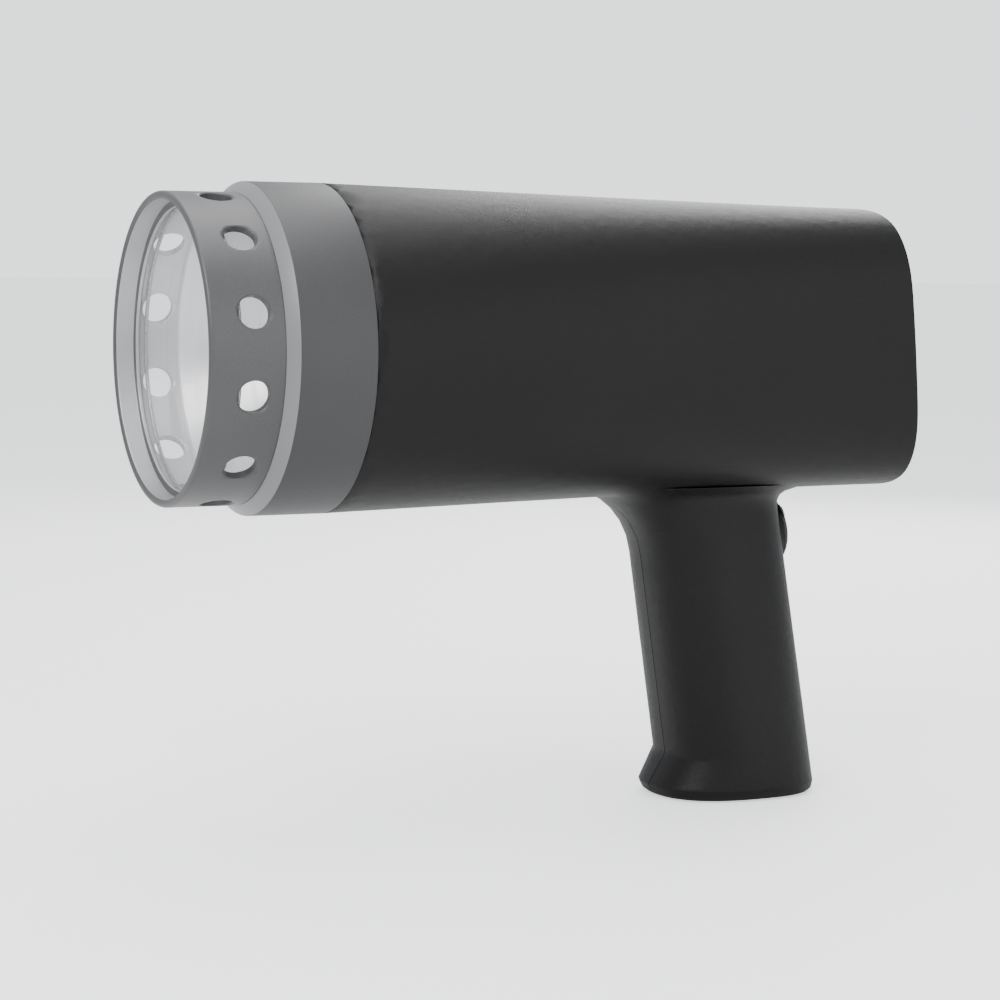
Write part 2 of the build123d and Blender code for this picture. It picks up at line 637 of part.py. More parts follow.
def display_frame():
    """Dark border round the display, with a lip behind the plate that it is trapped by."""
    border = panel_block(DISPLAY_CENTRE, DISPLAY_WIDTH - 0.1, DISPLAY_HEIGHT - 0.1, PANEL_BACK - 1.5,
                         PANEL_FACE - 0.3, 1.5)
    lip = panel_block(DISPLAY_CENTRE, DISPLAY_WIDTH + 4.0, DISPLAY_HEIGHT + 4.0, PANEL_BACK - 1.5, PANEL_BACK, 2.0)
    clear = panel_block(DISPLAY_CENTRE, DISPLAY_WIDTH - 2 * DISPLAY_BORDER, DISPLAY_HEIGHT - 2 * DISPLAY_BORDER,
                        PANEL_BACK - 3.0, 1.0, 0.5)
    return border + lip - clear


def display_window():
    """Clear window inside the border."""
    front = PANEL_FACE - 0.8
    return panel_block(DISPLAY_CENTRE, DISPLAY_WIDTH - 2 * DISPLAY_BORDER - 0.1,
                       DISPLAY_HEIGHT - 2 * DISPLAY_BORDER - 0.1, front - WINDOW_THICKNESS, front, 0.45)


GLASS_FRONT = PANEL_BACK - 1.6


def display_glass():
    """Liquid-crystal glass behind the window."""
    return panel_block(DISPLAY_CENTRE, DISPLAY_WIDTH + 2.0, DISPLAY_HEIGHT + 2.0, GLASS_FRONT - GLASS_THICKNESS,
                       GLASS_FRONT)


CONTROL_FRONT = -CONTROL_BOARD_DEPTH


def display_connector():
    """Two rubber contact strips between the glass and the control board."""
    strip_height = GLASS_FRONT - GLASS_THICKNESS - CONTROL_FRONT
    strips = [panel_block((DISPLAY_CENTRE[0], DISPLAY_CENTRE[1] + side * (DISPLAY_HEIGHT / 2 - 1.0)),
                          DISPLAY_WIDTH - 4.0, 2.2, CONTROL_FRONT, CONTROL_FRONT + strip_height)
              for side in (-1, 1)]
    return Compound(strips)


def control_board():
    """Board parallel to the panel, cut away behind the knobs and the socket."""
    board = inner_outline(CONTROL_BOARD_INSET, CONTROL_FRONT - BOARD_THICKNESS, CONTROL_FRONT)
    knob_side = KNOB_CENTRES[0][0] + POT_RADIUS + 0.6
    top = KNOB_CENTRES[0][1] + POT_RADIUS + 0.6
    reach = 2 * HEAD_HALF_WIDTH
    board -= panel_block((knob_side - reach / 2, top - reach / 2), reach, reach, CONTROL_FRONT - 3.0,
                         CONTROL_FRONT + 1.0)
    for place in panel_post_places():
        board -= panel_hole(place, BOARD_SCREW_RADIUS + 0.15)
    return board


def panel_post_places():
    """Where the control board is screwed to the panel's posts."""
    return [(34.0, 31.0), (-34.0, 31.0), (38.0, -8.0)]


def panel_posts():
    """Posts behind the panel, one solid with it."""
    posts = []
    for place in panel_post_places():
        post = turned_on_panel([(CONTROL_FRONT, BOARD_SCREW_RADIUS), (CONTROL_FRONT, 2.6),
                                (PANEL_BACK + 0.2, 2.6), (PANEL_BACK + 0.2, BOARD_SCREW_RADIUS)], place)
        posts.append(post)
    return posts


def panel_screw(place):
    """Small screw forward through the control board into its post."""
    back = CONTROL_FRONT - BOARD_THICKNESS
    return turned_on_panel([(back - 1.6, 0), (back - 1.6, 2.2), (back, 2.2), (back, BOARD_SCREW_RADIUS),
                            (PANEL_BACK - 0.6, BOARD_SCREW_RADIUS), (PANEL_BACK - 0.6, 0)], place)


plate = fascia_plate()
for post in panel_posts():
    plate += post
save("fascia_plate", plate)
save("display_frame", display_frame())
save("display_window", display_window())
save("display_glass", display_glass())
save("display_connectors", display_connector())
save("control_board", control_board())
save("control_board_screws", Compound([panel_screw(place) for place in panel_post_places()]))


# ---------------------------------------------------------------- keys and their switches
KEY_TOP = PANEL_FACE + KEY_PROUD
TACT_TOP = PANEL_BACK - KEY_FLANGE - KEY_TRAVEL - 0.3


def key_cap(place):
    """Rounded key with a flange behind the panel and a stem towards its switch."""
    cap = panel_block(place, KEY_WIDTH, KEY_HEIGHT, PANEL_BACK - KEY_FLANGE, KEY_TOP, KEY_ROUND)
    top_edges = cap.edges().group_by(Axis.Y)[-1]
    cap = fillet(top_edges, 0.5)
    flange = panel_block(place, KEY_WIDTH + 1.4, KEY_HEIGHT + 1.4, PANEL_BACK - KEY_FLANGE - 0.1, PANEL_BACK - 0.1,
                         KEY_ROUND)
    return cap + flange


def tact_switch(place):
    """Square push switch on the control board behind a key."""
    return panel_block(place, 6.0, 6.0, CONTROL_FRONT, TACT_TOP, 0.4)


for number, place in enumerate(key_places(), start=1):
    save(f"key_{number}", key_cap(place))
save("key_switches", Compound([tact_switch(place) for place in key_places()]))


# ---------------------------------------------------------------- knobs and their potentiometers
def knob(centre):
    """Domed knob with a short skirt, hollow over the nut and bored for the shaft."""
    foot = PANEL_FACE + KNOB_CLEARANCE
    top = foot + KNOB_HEIGHT
    skirt = foot + 3.0
    dome = [(skirt + (top - skirt) * math.sin(math.radians(a)), KNOB_RADIUS * math.cos(math.radians(a)) ** 0.75)
            for a in range(0, 90, 10)]
    hollow = KNOB_RADIUS - 1.6
    bore_end = foot + KNOB_HEIGHT - 3.0
    return turned_on_panel([(foot, KNOB_RADIUS)] + dome + [(top, 0), (bore_end, 0), (bore_end, SHAFT_RADIUS),
                           (foot + KNOB_CAVITY, SHAFT_RADIUS), (foot + KNOB_CAVITY, hollow), (foot, hollow)], centre)


def knob_shaft(centre):
    """Shaft from the potentiometer into the knob."""
    end = PANEL_FACE + KNOB_CLEARANCE + KNOB_HEIGHT - 3.2
    start = PANEL_BACK - POT_DEPTH + 1.0
    return turned_on_panel([(start, 0), (start, SHAFT_RADIUS), (end, SHAFT_RADIUS), (end, 0)], centre)


def potentiometer(centre):
    """Round body behind the panel with a bushing through it, bored for the shaft."""
    bore = SHAFT_RADIUS + SHAFT_CLEARANCE
    back = PANEL_BACK - POT_DEPTH
    nut_top = PANEL_FACE + NUT_THICKNESS + 0.4
    return turned_on_panel([(back, 0), (back, POT_RADIUS), (PANEL_BACK, POT_RADIUS), (PANEL_BACK, BUSHING_RADIUS),
                            (nut_top, BUSHING_RADIUS), (nut_top, bore), (back + 0.9, bore), (back + 0.9, 0)], centre)


def nut(centre, radius, flats, thickness):
    """Hexagon nut against the panel's face."""
    plane = Plane(origin=(centre[0], PANEL_FACE, centre[1]), x_dir=(-1, 0, 0), z_dir=(0, 1, 0))
    ring = RegularPolygon(flats / 2, 6, major_radius=False) - Circle(radius + 0.02)
    return PANEL * extrude(plane * ring, amount=thickness)


for name, centre in zip(("fine", "coarse"), KNOB_CENTRES):
    save(f"{name}_knob", knob(centre))
    save(f"{name}_shaft", knob_shaft(centre))
    save(f"{name}_potentiometer", potentiometer(centre))
save("potentiometer_nuts", Compound([nut(c, BUSHING_RADIUS, NUT_FLATS, NUT_THICKNESS) for c in KNOB_CENTRES]))


# ---------------------------------------------------------------- trigger socket
def trigger_socket():
    """Small jack socket behind the panel, its barrel flush with the panel's face."""
    body = panel_block(JACK_CENTRE, JACK_BODY, JACK_BODY, PANEL_BACK - JACK_DEPTH, PANEL_BACK, 0.5)
    barrel = turned_on_panel([(PANEL_BACK - OVERLAP, 0), (PANEL_BACK - OVERLAP, JACK_BARREL),
                              (PANEL_FACE + 0.2, JACK_BARREL), (PANEL_FACE + 0.2, 0)], JACK_CENTRE)
    bore = turned_on_panel([(PANEL_BACK - JACK_DEPTH + 1.0, 0), (PANEL_BACK - JACK_DEPTH + 1.0, JACK_BORE),
                            (2.0, JACK_BORE), (2.0, 0)], JACK_CENTRE)
    return body + barrel - bore


save("trigger_socket", trigger_socket())


# ================================================================ rocker switch in the grip's back
def on_switch(profile):
    """Solid of revolution about the switch's axis; profile is (height above the grip's back, radius) pairs."""
    points = [(0, y, r) for y, r in profile]
    return SWITCH * revolve(make_face(Polyline(*points, close=True)), Axis.Y, 360)


def rocker_pivot(radius, reach):
    """Cylinder along the rocker's pivot line."""
    pivot = BEZEL_SEAT + SWITCH_BEZEL_HEIGHT - PIVOT_DEPTH
    return SWITCH * (Pos(0, pivot, 0) * (Rot(0, 90, 0) * Cylinder(radius, 2 * reach)))


def switch_body():
    """Round bezel and barrel, open in front for the rocker."""
    face = BEZEL_SEAT + SWITCH_BEZEL_HEIGHT
    mouth = ROCKER_RADIUS + ROCKER_WIDTH_GAP
    floor = face - 9.0
    end = BEZEL_SEAT - SWITCH_BARREL_LENGTH
    body = on_switch([(end, 0), (end, SWITCH_BARREL_RADIUS), (BEZEL_SEAT, SWITCH_BARREL_RADIUS),
                      (BEZEL_SEAT, SWITCH_BEZEL_RADIUS), (face - 0.8, SWITCH_BEZEL_RADIUS),
                      (face, SWITCH_BEZEL_RADIUS - 1.0), (face, mouth), (floor, mouth), (floor, 0)])
    return body - rocker_pivot(TRUNNION_RADIUS + SHAFT_CLEARANCE, mouth + TRUNNION_DEPTH + 0.1)


def switch_terminals():
    """Two tab terminals out of the barrel's back."""
    end = BEZEL_SEAT - SWITCH_BARREL_LENGTH
    tab = Box(0.8, 7.0, 4.8)
    return Compound([SWITCH * (Pos(0, end - 3.5, side * 4.0) * (Rot(0, 90, 0) * tab)) for side in (-1, 1)])


def switch_rocker():
    """Rocker in its off position, lower half pressed in."""
    face = BEZEL_SEAT + SWITCH_BEZEL_HEIGHT
    pivot = face - PIVOT_DEPTH
    half_throw = ROCKER_THROW / 2
    rise = math.tan(math.radians(half_throw)) * ROCKER_RADIUS
    radius = ROCKER_RADIUS - 0.5
    top = PIVOT_DEPTH + 0.3
    profile = make_face(Polyline((0, -3.2, -radius), (0, top + rise, -radius), (0, top, 0),
                                 (0, top + rise, radius), (0, -3.2, radius), close=True))
    prism = extrude(profile, amount=radius, dir=(1, 0, 0), both=True)
    drum = Rot(90, 0, 0) * Cylinder(radius, 30.0)
    rocker = (prism & drum)
    rocker = SWITCH * (Pos(0, pivot, 0) * (Rot(-half_throw, 0, 0) * rocker))
    return rocker + rocker_pivot(TRUNNION_RADIUS, ROCKER_RADIUS + ROCKER_WIDTH_GAP + TRUNNION_DEPTH)


save("switch_body", switch_body())
save("switch_terminals", switch_terminals())
save("switch_rocker", switch_rocker())


# ================================================================ battery and charging socket
def cell_places():
    """Four cells side by side, two wide and two deep, leaning with the grip."""
    return [(x, y) for x in (-CELL_RADIUS - 0.1, CELL_RADIUS + 0.1) for y in (-CELL_RADIUS - 0.1, CELL_RADIUS + 0.1)]


PACK_LEAN = Location((0, in_grip(CELL_LIFT, -3.5), CELL_LIFT), (GRIP_RAKE, 0, 0))


def battery_cells():
    """Four round cells, each with its raised contact."""
    cells = []
    for x, y in cell_places():
        can = Pos(x, y, CELL_LENGTH / 2) * Cylinder(CELL_RADIUS, CELL_LENGTH)
        tip = Pos(x, y, CELL_LENGTH) * Cylinder(2.6, 1.6)
        cells.append(PACK_LEAN * (can + tip))
    return Compound(cells)


def pack_end(height, thickness):
    """Plastic plate that holds the four cells together at one end."""
    side = 4 * CELL_RADIUS + 1.2
    plate = extrude(RectangleRounded(side, side, HOLDER_CORNER), amount=thickness)
    return PACK_LEAN * (Pos(0, 0, height) * plate)


def charge_socket():
    """Charging jack in the base: barrel through the wall, body above it."""
    barrel = Pos(0, CHARGE_JACK_Y, 0.4 + CHARGE_JACK_LENGTH / 2) * Cylinder(CHARGE_JACK_RADIUS, CHARGE_JACK_LENGTH)
    flange = Pos(0, CHARGE_JACK_Y, WALL + 1.0) * Cylinder(CHARGE_JACK_RADIUS + 1.2, 2.0)
    bore = Pos(0, CHARGE_JACK_Y, (CHARGE_JACK_LENGTH - 1.0) / 2) * Cylinder(JACK_BORE, CHARGE_JACK_LENGTH - 1.0 + OVERLAP)
    return barrel + flange - bore


save("battery_cells", battery_cells())
save("battery_lower_holder", pack_end(-2.0, 2.0))
save("battery_upper_holder", pack_end(CELL_LENGTH + 0.8, 1.6))
save("charge_socket", charge_socket())
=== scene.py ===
"""Hand-held stroboscopic timing light: the looks of each piece, in the order the tool is put together."""

import json
import math

import bmesh
import bpy
from mathutils import Matrix, Vector


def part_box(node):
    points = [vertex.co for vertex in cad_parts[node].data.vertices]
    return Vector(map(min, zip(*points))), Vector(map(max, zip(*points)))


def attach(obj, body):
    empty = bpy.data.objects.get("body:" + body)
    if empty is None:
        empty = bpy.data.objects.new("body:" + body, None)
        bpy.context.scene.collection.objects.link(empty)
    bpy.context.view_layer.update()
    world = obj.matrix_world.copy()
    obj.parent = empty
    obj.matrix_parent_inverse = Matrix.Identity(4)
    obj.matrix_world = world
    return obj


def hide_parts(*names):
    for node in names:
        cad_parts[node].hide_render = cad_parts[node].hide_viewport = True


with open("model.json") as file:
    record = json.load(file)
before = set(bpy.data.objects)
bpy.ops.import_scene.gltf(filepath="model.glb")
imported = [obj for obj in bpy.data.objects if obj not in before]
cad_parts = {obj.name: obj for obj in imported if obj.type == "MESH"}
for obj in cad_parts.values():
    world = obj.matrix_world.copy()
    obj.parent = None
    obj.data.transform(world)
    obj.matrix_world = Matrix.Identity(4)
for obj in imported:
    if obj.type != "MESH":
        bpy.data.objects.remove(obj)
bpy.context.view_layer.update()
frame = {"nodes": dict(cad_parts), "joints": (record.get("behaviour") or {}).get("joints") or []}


# ---------------------------------------------------------------- body shells
# Two glass-filled nylon shells, left and right, moulded with a fine spark texture and no paint.
# They meet on the middle plane and are drawn together by screws from the right.
MM = 0.001
SHELL_DARK = (0.0016, 0.0015, 0.0016)
SHELL_LIGHT = (0.0036, 0.0033, 0.0035)
SEAM_GAP = 0.15
GROOVE_DEPTH = 0.3
TONGUE_SHARE = 1.8


def material(name):
    """New node material; returns it with its node tree and its shader."""
    made = bpy.data.materials.new(name)
    made.use_nodes = True
    tree = made.node_tree
    return made, tree, tree.nodes["Principled BSDF"]


def node(tree, kind, **inputs):
    """Node of a kind with its sockets set; an input given as a socket is linked."""
    new = tree.nodes.new(kind)
    for key, value in inputs.items():
        if key.islower():
            setattr(new, key, value)
            continue
        target = new.inputs[key.replace("_", " ")]
        if isinstance(value, bpy.types.NodeSocket):
            tree.links.new(value, target)
        else:
            target.default_value = value
    return new


def object_place(tree, stretch=(1.0, 1.0, 1.0)):
    """Place on the object, in metres, with each direction's pattern drawn finer by its stretch."""
    place = node(tree, "ShaderNodeTexCoord").outputs["Object"]
    return node(tree, "ShaderNodeMapping", Vector=place, Scale=stretch).outputs["Vector"]


def noise(tree, scale, detail=3.0, roughness=0.55, stretch=(1.0, 1.0, 1.0)):
    """Noise value on the object's own coordinates; scale is per metre."""
    place = object_place(tree, stretch)
    return node(tree, "ShaderNodeTexNoise", Vector=place, Scale=scale, Detail=detail,
                Roughness=roughness).outputs["Fac"]


def spread(tree, value, low, high, from_low=0.35, from_high=0.65):
    """Value spread from its middle range onto low to high."""
    made = node(tree, "ShaderNodeMapRange", Value=value, From_Min=from_low, From_Max=from_high,
                To_Min=low, To_Max=high)
    return made.outputs["Result"]


def between(tree, share, first, second):
    """Colour between two, by share."""
    made = node(tree, "ShaderNodeMix", data_type="RGBA")
    tree.links.new(share, made.inputs[0])
    made.inputs[6].default_value = (*first, 1)
    made.inputs[7].default_value = (*second, 1)
    return made.outputs[2]


def bumped(tree, shader, height, distance):
    """Surface bumped by a height value; distance is in metres."""
    made = node(tree, "ShaderNodeBump", Height=height, Distance=distance)
    tree.links.new(made.outputs["Normal"], shader.inputs["Normal"])


def moulded(name, dark, light, rough, grain, depth, coat=0.0):
    """Moulded plastic: a slow change of tone, and a fine grain in colour, gloss and height."""
    made, tree, shader = material(name)
    broad = noise(tree, 30.0, 2.0)
    fine = noise(tree, grain, 2.0, 0.6)
    tone = node(tree, "ShaderNodeMath", operation="ADD")
    tree.links.new(spread(tree, broad, 0.0, 0.35), tone.inputs[0])
    tree.links.new(spread(tree, fine, 0.0, 0.65), tone.inputs[1])
    tree.links.new(between(tree, tone.outputs[0], dark, light), shader.inputs["Base Color"])
    tree.links.new(spread(tree, fine, rough - 0.05, rough + 0.05), shader.inputs["Roughness"])
    shader.inputs["Coat Weight"].default_value = coat
    bumped(tree, shader, fine, depth)
    return made


def smooth_copy(node_name, piece_name, finish, body="light", limit=34.0, change=None):
    """Copy of a CAD node that stands for it: joined up, smooth up to an angle, its broad faces flat."""
    mesh = frame["nodes"][node_name].data.copy()
    shape = bmesh.new()
    shape.from_mesh(mesh)
    bmesh.ops.remove_doubles(shape, verts=shape.verts, dist=0.01 * MM)
    if change:
        change(shape)
    shape.to_mesh(mesh)
    shape.free()
    mesh.shade_smooth()
    mesh.set_sharp_from_angle(angle=math.radians(limit))
    mesh.materials.clear()
    mesh.materials.append(finish)
    piece = bpy.data.objects.new(piece_name, mesh)
    bpy.context.collection.objects.link(piece)
    piece.modifiers.new("flat_faces", "WEIGHTED_NORMAL").keep_sharp = True
    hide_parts(node_name)
    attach(piece, body)
    return piece


def tongued(shape):
    """Carry the seam face across the gap, but for a groove along its edges, so that no light comes through."""
    seam = [face for face in shape.faces
            if all(abs(corner.co.x - SEAM_GAP * MM) < 0.01 * MM for corner in face.verts)]
    bmesh.ops.inset_region(shape, faces=seam, thickness=GROOVE_DEPTH * MM, depth=TONGUE_SHARE * SEAM_GAP * MM,
                           use_boundary=True, use_even_offset=False)


shell_plastic = moulded("black_shell_plastic", SHELL_DARK, SHELL_LIGHT, 0.46, 2600.0, 0.10 * MM)
shell_plastic.node_tree.nodes["Principled BSDF"].inputs["Specular IOR Level"].default_value = 0.24
smooth_copy("housing_left", "shell_left", shell_plastic, limit=26.0, change=tongued)
smooth_copy("housing_right", "shell_right", shell_plastic, limit=26.0)


# ---------------------------------------------------------------- housing screws
# Five zinc-plated steel screws with a pan head and a cross recess, sunk in round pockets of the right shell.
# Two of them hold the grip and three hold the head.
def dress(finish, *node_names):
    """Give CAD nodes their finish where their own shape shows."""
    for node_name in node_names:
        mesh = frame["nodes"][node_name].data
        mesh.materials.clear()
        mesh.materials.append(finish)


def metal(name, dark, light, rough, grain=700.0, stretch=(1.0, 1.0, 1.0), depth=0.004 * MM):
    """Bare metal: fine marks, drawn out by their stretch, in tone, gloss and height."""
    made, tree, shader = material(name)
    marks = noise(tree, grain, 4.0, 0.6, stretch)
    tree.links.new(between(tree, spread(tree, marks, 0.0, 1.0), dark, light), shader.inputs["Base Color"])
    tree.links.new(spread(tree, marks, rough - 0.08, rough + 0.08), shader.inputs["Roughness"])
    shader.inputs["Metallic"].default_value = 1.0
    bumped(tree, shader, marks, depth)
    return made


zinc = metal("zinc_plated_steel", (0.42, 0.42, 0.43), (0.58, 0.58, 0.60), 0.34)
smooth_copy("housing_screws", "shell_screws", zinc)


# ---------------------------------------------------------------- battery
# Four round rechargeable cells in shrink sleeves, held at both ends by a black plastic plate, inside the grip.
CELL_BLUE = ((0.012, 0.045, 0.16), (0.016, 0.060, 0.20))
black_plastic = moulded("black_plastic", (0.012, 0.012, 0.013), (0.022, 0.022, 0.023), 0.42, 1800.0, 0.05 * MM)
dress(moulded("cell_sleeve_film", *CELL_BLUE, 0.28, 500.0, 0.01 * MM, coat=0.3), "battery_cells")
dress(black_plastic, "battery_lower_holder", "battery_upper_holder")


# ---------------------------------------------------------------- charging socket
# Round nickel-lined jack in the grip's base, drawn all in black plastic. Its nut is inside, so only its mouth
# shows.
nickel = metal("nickel_plate", (0.50, 0.48, 0.44), (0.66, 0.64, 0.60), 0.24)
smooth_copy("charge_socket", "charging_jack", black_plastic)


# ---------------------------------------------------------------- power board
# Glass-epoxy board on four posts in the head, with the storage capacitor, the inverter transformer and
# the trigger coil standing on it. Copper tracks show through the green resist.
TRACK_PITCH = 2.4
board_green, tree, shader = material("board_resist")
tracks = node(tree, "ShaderNodeTexBrick", Vector=object_place(tree), Scale=1.0 / (TRACK_PITCH * MM),
              Mortar_Size=0.09, Color1=(0.006, 0.075, 0.028, 1), Color2=(0.008, 0.060, 0.024, 1),
              Mortar=(0.020, 0.16, 0.050, 1))
tree.links.new(tracks.outputs["Color"], shader.inputs["Base Color"])
tree.links.new(spread(tree, noise(tree, 900.0), 0.25, 0.40), shader.inputs["Roughness"])
shader.inputs["Coat Weight"].default_value = 0.4
bumped(tree, shader, tracks.outputs["Fac"], 0.03 * MM)
dress(board_green, "power_board", "control_board")
dress(zinc, "power_board_screws", "control_board_screws")
dress(moulded("capacitor_film", (0.010, 0.012, 0.030), (0.016, 0.018, 0.045), 0.25, 600.0, 0.01 * MM, coat=0.4),
      "flash_capacitor")
dress(moulded("fired_ferrite", (0.020, 0.019, 0.018), (0.055, 0.052, 0.050), 0.62, 1500.0, 0.06 * MM),
      "transformer_core")
dress(moulded("yellow_winding_tape", (0.50, 0.33, 0.05), (0.62, 0.44, 0.09), 0.35, 400.0, 0.02 * MM),
      "transformer_winding")
dress(moulded("potting_resin", (0.014, 0.012, 0.011), (0.030, 0.027, 0.025), 0.30, 350.0, 0.05 * MM, coat=0.3),
      "trigger_coil")


# ---------------------------------------------------------------- lamp base and bulkhead
# Steatite base that the flash tube's legs stand in, carried by a black bulkhead behind the reflector.
# Two nickel pins lead out of its back.
ceramic = moulded("steatite_ceramic", (0.66, 0.63, 0.56), (0.78, 0.75, 0.69), 0.48, 1100.0, 0.04 * MM)
smooth_copy("lamp_base", "tube_base", ceramic)
dress(black_plastic, "lamp_bulkhead")
dress(nickel, "lamp_pins")


# ---------------------------------------------------------------- reflector
# Bowl spun from bright aluminium sheet, with a rolled rim and a skirt that slides in the hood's bore.
# The spinning tool leaves faint rings round the lamp's axis.
REFLECTOR_SHEET = 0.6
MOUTH_INSET = 2.1
NECK_RADIUS = 13.0
SKIRT_LENGTH = 10.0
BOWL_RINGS = 40

lens_low, lens_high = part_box("lens_glass")
axis_height = (lens_low.z + lens_high.z) / 2
rim_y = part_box("vent_hood")[0].y


def lathe(profile, segments=192, closed=True):
    """Shape turned about the lamp's axis; profile is (y, radius) points in metres, in order."""
    shape = bmesh.new()
    points = [shape.verts.new((0, y, axis_height + radius)) for y, radius in profile]
    ends = points[1:] + points[:1] if closed else points[1:]
    edges = [shape.edges.new(pair) for pair in zip(points, ends)]
    bmesh.ops.spin(shape, geom=points + edges, cent=(0, 0, axis_height), axis=(0, 1, 0), dvec=(0, 0, 0),
                   angle=math.tau, steps=segments, use_merge=True, use_duplicate=False)
    bmesh.ops.remove_doubles(shape, verts=shape.verts, dist=0.001 * MM)
    bmesh.ops.recalc_face_normals(shape, faces=shape.faces)
    return shape


def eased(shape, width, segments=3, angle=30.0):
    """Round off the edges that turn by more than an angle, in degrees."""
    sharp = [edge for edge in shape.edges if edge.is_manifold and edge.calc_face_angle() > math.radians(angle)]
    bmesh.ops.bevel(shape, geom=sharp, affect="EDGES", offset=width, offset_type="OFFSET", segments=segments,
                    profile=0.5, material=-1, clamp_overlap=True)
    return shape


def finished(shape, piece_name, finish, body="light", limit=34.0):
    """Piece from a bmesh, shaded smooth up to an angle, dressed and riding on its body."""
    mesh = bpy.data.meshes.new(piece_name)
    shape.to_mesh(mesh)
    shape.free()
    mesh.shade_smooth()
    mesh.set_sharp_from_angle(angle=math.radians(limit))
    mesh.materials.append(finish)
    piece = bpy.data.objects.new(piece_name, mesh)
    bpy.context.collection.objects.link(piece)
    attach(piece, body)
    return piece


bowl_low, bowl_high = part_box("reflector")
skirt_radius = (bowl_high.z - bowl_low.z) / 2
mouth_radius = skirt_radius - MOUTH_INSET * MM
neck_radius = NECK_RADIUS * MM
bowl_depth = bowl_high.y - bowl_low.y
bowl_profile = [(bowl_low.y + SKIRT_LENGTH * MM, skirt_radius), (bowl_low.y, skirt_radius)]
for ring in range(BOWL_RINGS + 1):
    radius = mouth_radius + (neck_radius - mouth_radius) * ring / BOWL_RINGS
    share = (mouth_radius ** 2 - radius ** 2) / (mouth_radius ** 2 - neck_radius ** 2)
    bowl_profile.append((bowl_low.y + bowl_depth * share, radius))
shape = lathe(bowl_profile, closed=False)
eased(shape, 0.4 * MM, angle=50.0)
bmesh.ops.solidify(shape, geom=shape.faces, thickness=REFLECTOR_SHEET * MM)
bmesh.ops.recalc_face_normals(shape, faces=shape.faces)

bright_sheet, tree, shader = material("spun_bright_aluminium")
rings = noise(tree, 500.0, 3.0, 0.6, stretch=(0.05, 1.0, 0.05))
tree.links.new(between(tree, spread(tree, rings, 0.0, 1.0), (0.80, 0.80, 0.82), (0.90, 0.90, 0.91)),
               shader.inputs["Base Color"])
tree.links.new(spread(tree, rings, 0.30, 0.42), shader.inputs["Roughness"])
shader.inputs["Metallic"].default_value = 0.85
bumped(tree, shader, rings, 0.01 * MM)
bowl = finished(shape, "reflector_bowl", bright_sheet)
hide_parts("reflector")


# ---------------------------------------------------------------- flash tube
# U-shaped xenon tube of clear glass with a tungsten electrode in each leg. A fine nickel wire wound
# round one leg fires it.
TUBE_WALL = 0.45
ELECTRODE_RADIUS = 1.1
ELECTRODE_LENGTH = 7.0
WIRE_RADIUS = 0.14
WIRE_TURNS = 7
WIRE_STEPS = 20


def clear(name, tint, alpha, rough):
    """Clear glass or plastic: a thin tint that shows what is behind it, with a faint unevenness of polish."""
    made, tree, shader = material(name)
    uneven = noise(tree, 60.0, 2.0)
    deeper = tuple(0.94 * part for part in tint)
    tree.links.new(between(tree, uneven, deeper, tint), shader.inputs["Base Color"])
    tree.links.new(spread(tree, uneven, rough * 0.7, rough * 1.3), shader.inputs["Roughness"])
    shader.inputs["Alpha"].default_value = alpha
    shader.inputs["IOR"].default_value = 1.5
    shader.inputs["Coat Weight"].default_value = 0.6
    return made


tube_low, tube_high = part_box("flash_tube")
tube_radius = (tube_high.z - tube_low.z) / 2
leg_x = tube_high.x - tube_radius
bend_y = tube_low.y + leg_x + tube_radius
leg = Vector((0, tube_high.y - bend_y, 0))
shape = bmesh.new()
bmesh.ops.create_circle(shape, segments=24, radius=tube_radius, matrix=Matrix.Translation(
    (-leg_x, tube_high.y, axis_height)) @ Matrix.Rotation(math.pi / 2, 4, "X"))
ring = bmesh.ops.extrude_edge_only(shape, edges=shape.edges[:])["geom"]
bmesh.ops.translate(shape, verts=[part for part in ring if isinstance(part, bmesh.types.BMVert)], vec=-leg)
ring = [part for part in ring if isinstance(part, bmesh.types.BMEdge)
        and all(abs(end.co.y - bend_y) < 0.01 * MM for end in part.verts)]
ring = bmesh.ops.spin(shape, geom=ring, cent=(0, bend_y, axis_height), axis=(0, 0, 1), dvec=(0, 0, 0),
                      angle=math.pi, steps=20)["geom_last"]
ring = bmesh.ops.extrude_edge_only(shape, edges=[part for part in ring if isinstance(part, bmesh.types.BMEdge)])
bmesh.ops.translate(shape, vec=leg,
                    verts=[part for part in ring["geom"] if isinstance(part, bmesh.types.BMVert)])
bmesh.ops.remove_doubles(shape, verts=shape.verts, dist=0.01 * MM)
bmesh.ops.recalc_face_normals(shape, faces=shape.faces)
bmesh.ops.solidify(shape, geom=shape.faces, thickness=TUBE_WALL * MM)
quartz = clear("quartz_glass", (0.92, 0.95, 0.97), 0.35, 0.05)
glass_tube = finished(shape, "flash_tube_glass", quartz)
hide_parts("flash_tube")

tungsten = metal("tungsten", (0.30, 0.30, 0.31), (0.42, 0.42, 0.43), 0.40)
shape = bmesh.new()
for end in (-1, 1):
    middle = Matrix.Translation((end * leg_x, tube_high.y - ELECTRODE_LENGTH * MM, axis_height))
    bmesh.ops.create_cone(shape, cap_ends=True, segments=24, radius1=ELECTRODE_RADIUS * MM,
                          radius2=ELECTRODE_RADIUS * MM, depth=ELECTRODE_LENGTH * MM,
                          matrix=middle @ Matrix.Rotation(math.pi / 2, 4, "X"))
finished(eased(shape, 0.25 * MM), "flash_tube_electrodes", tungsten)

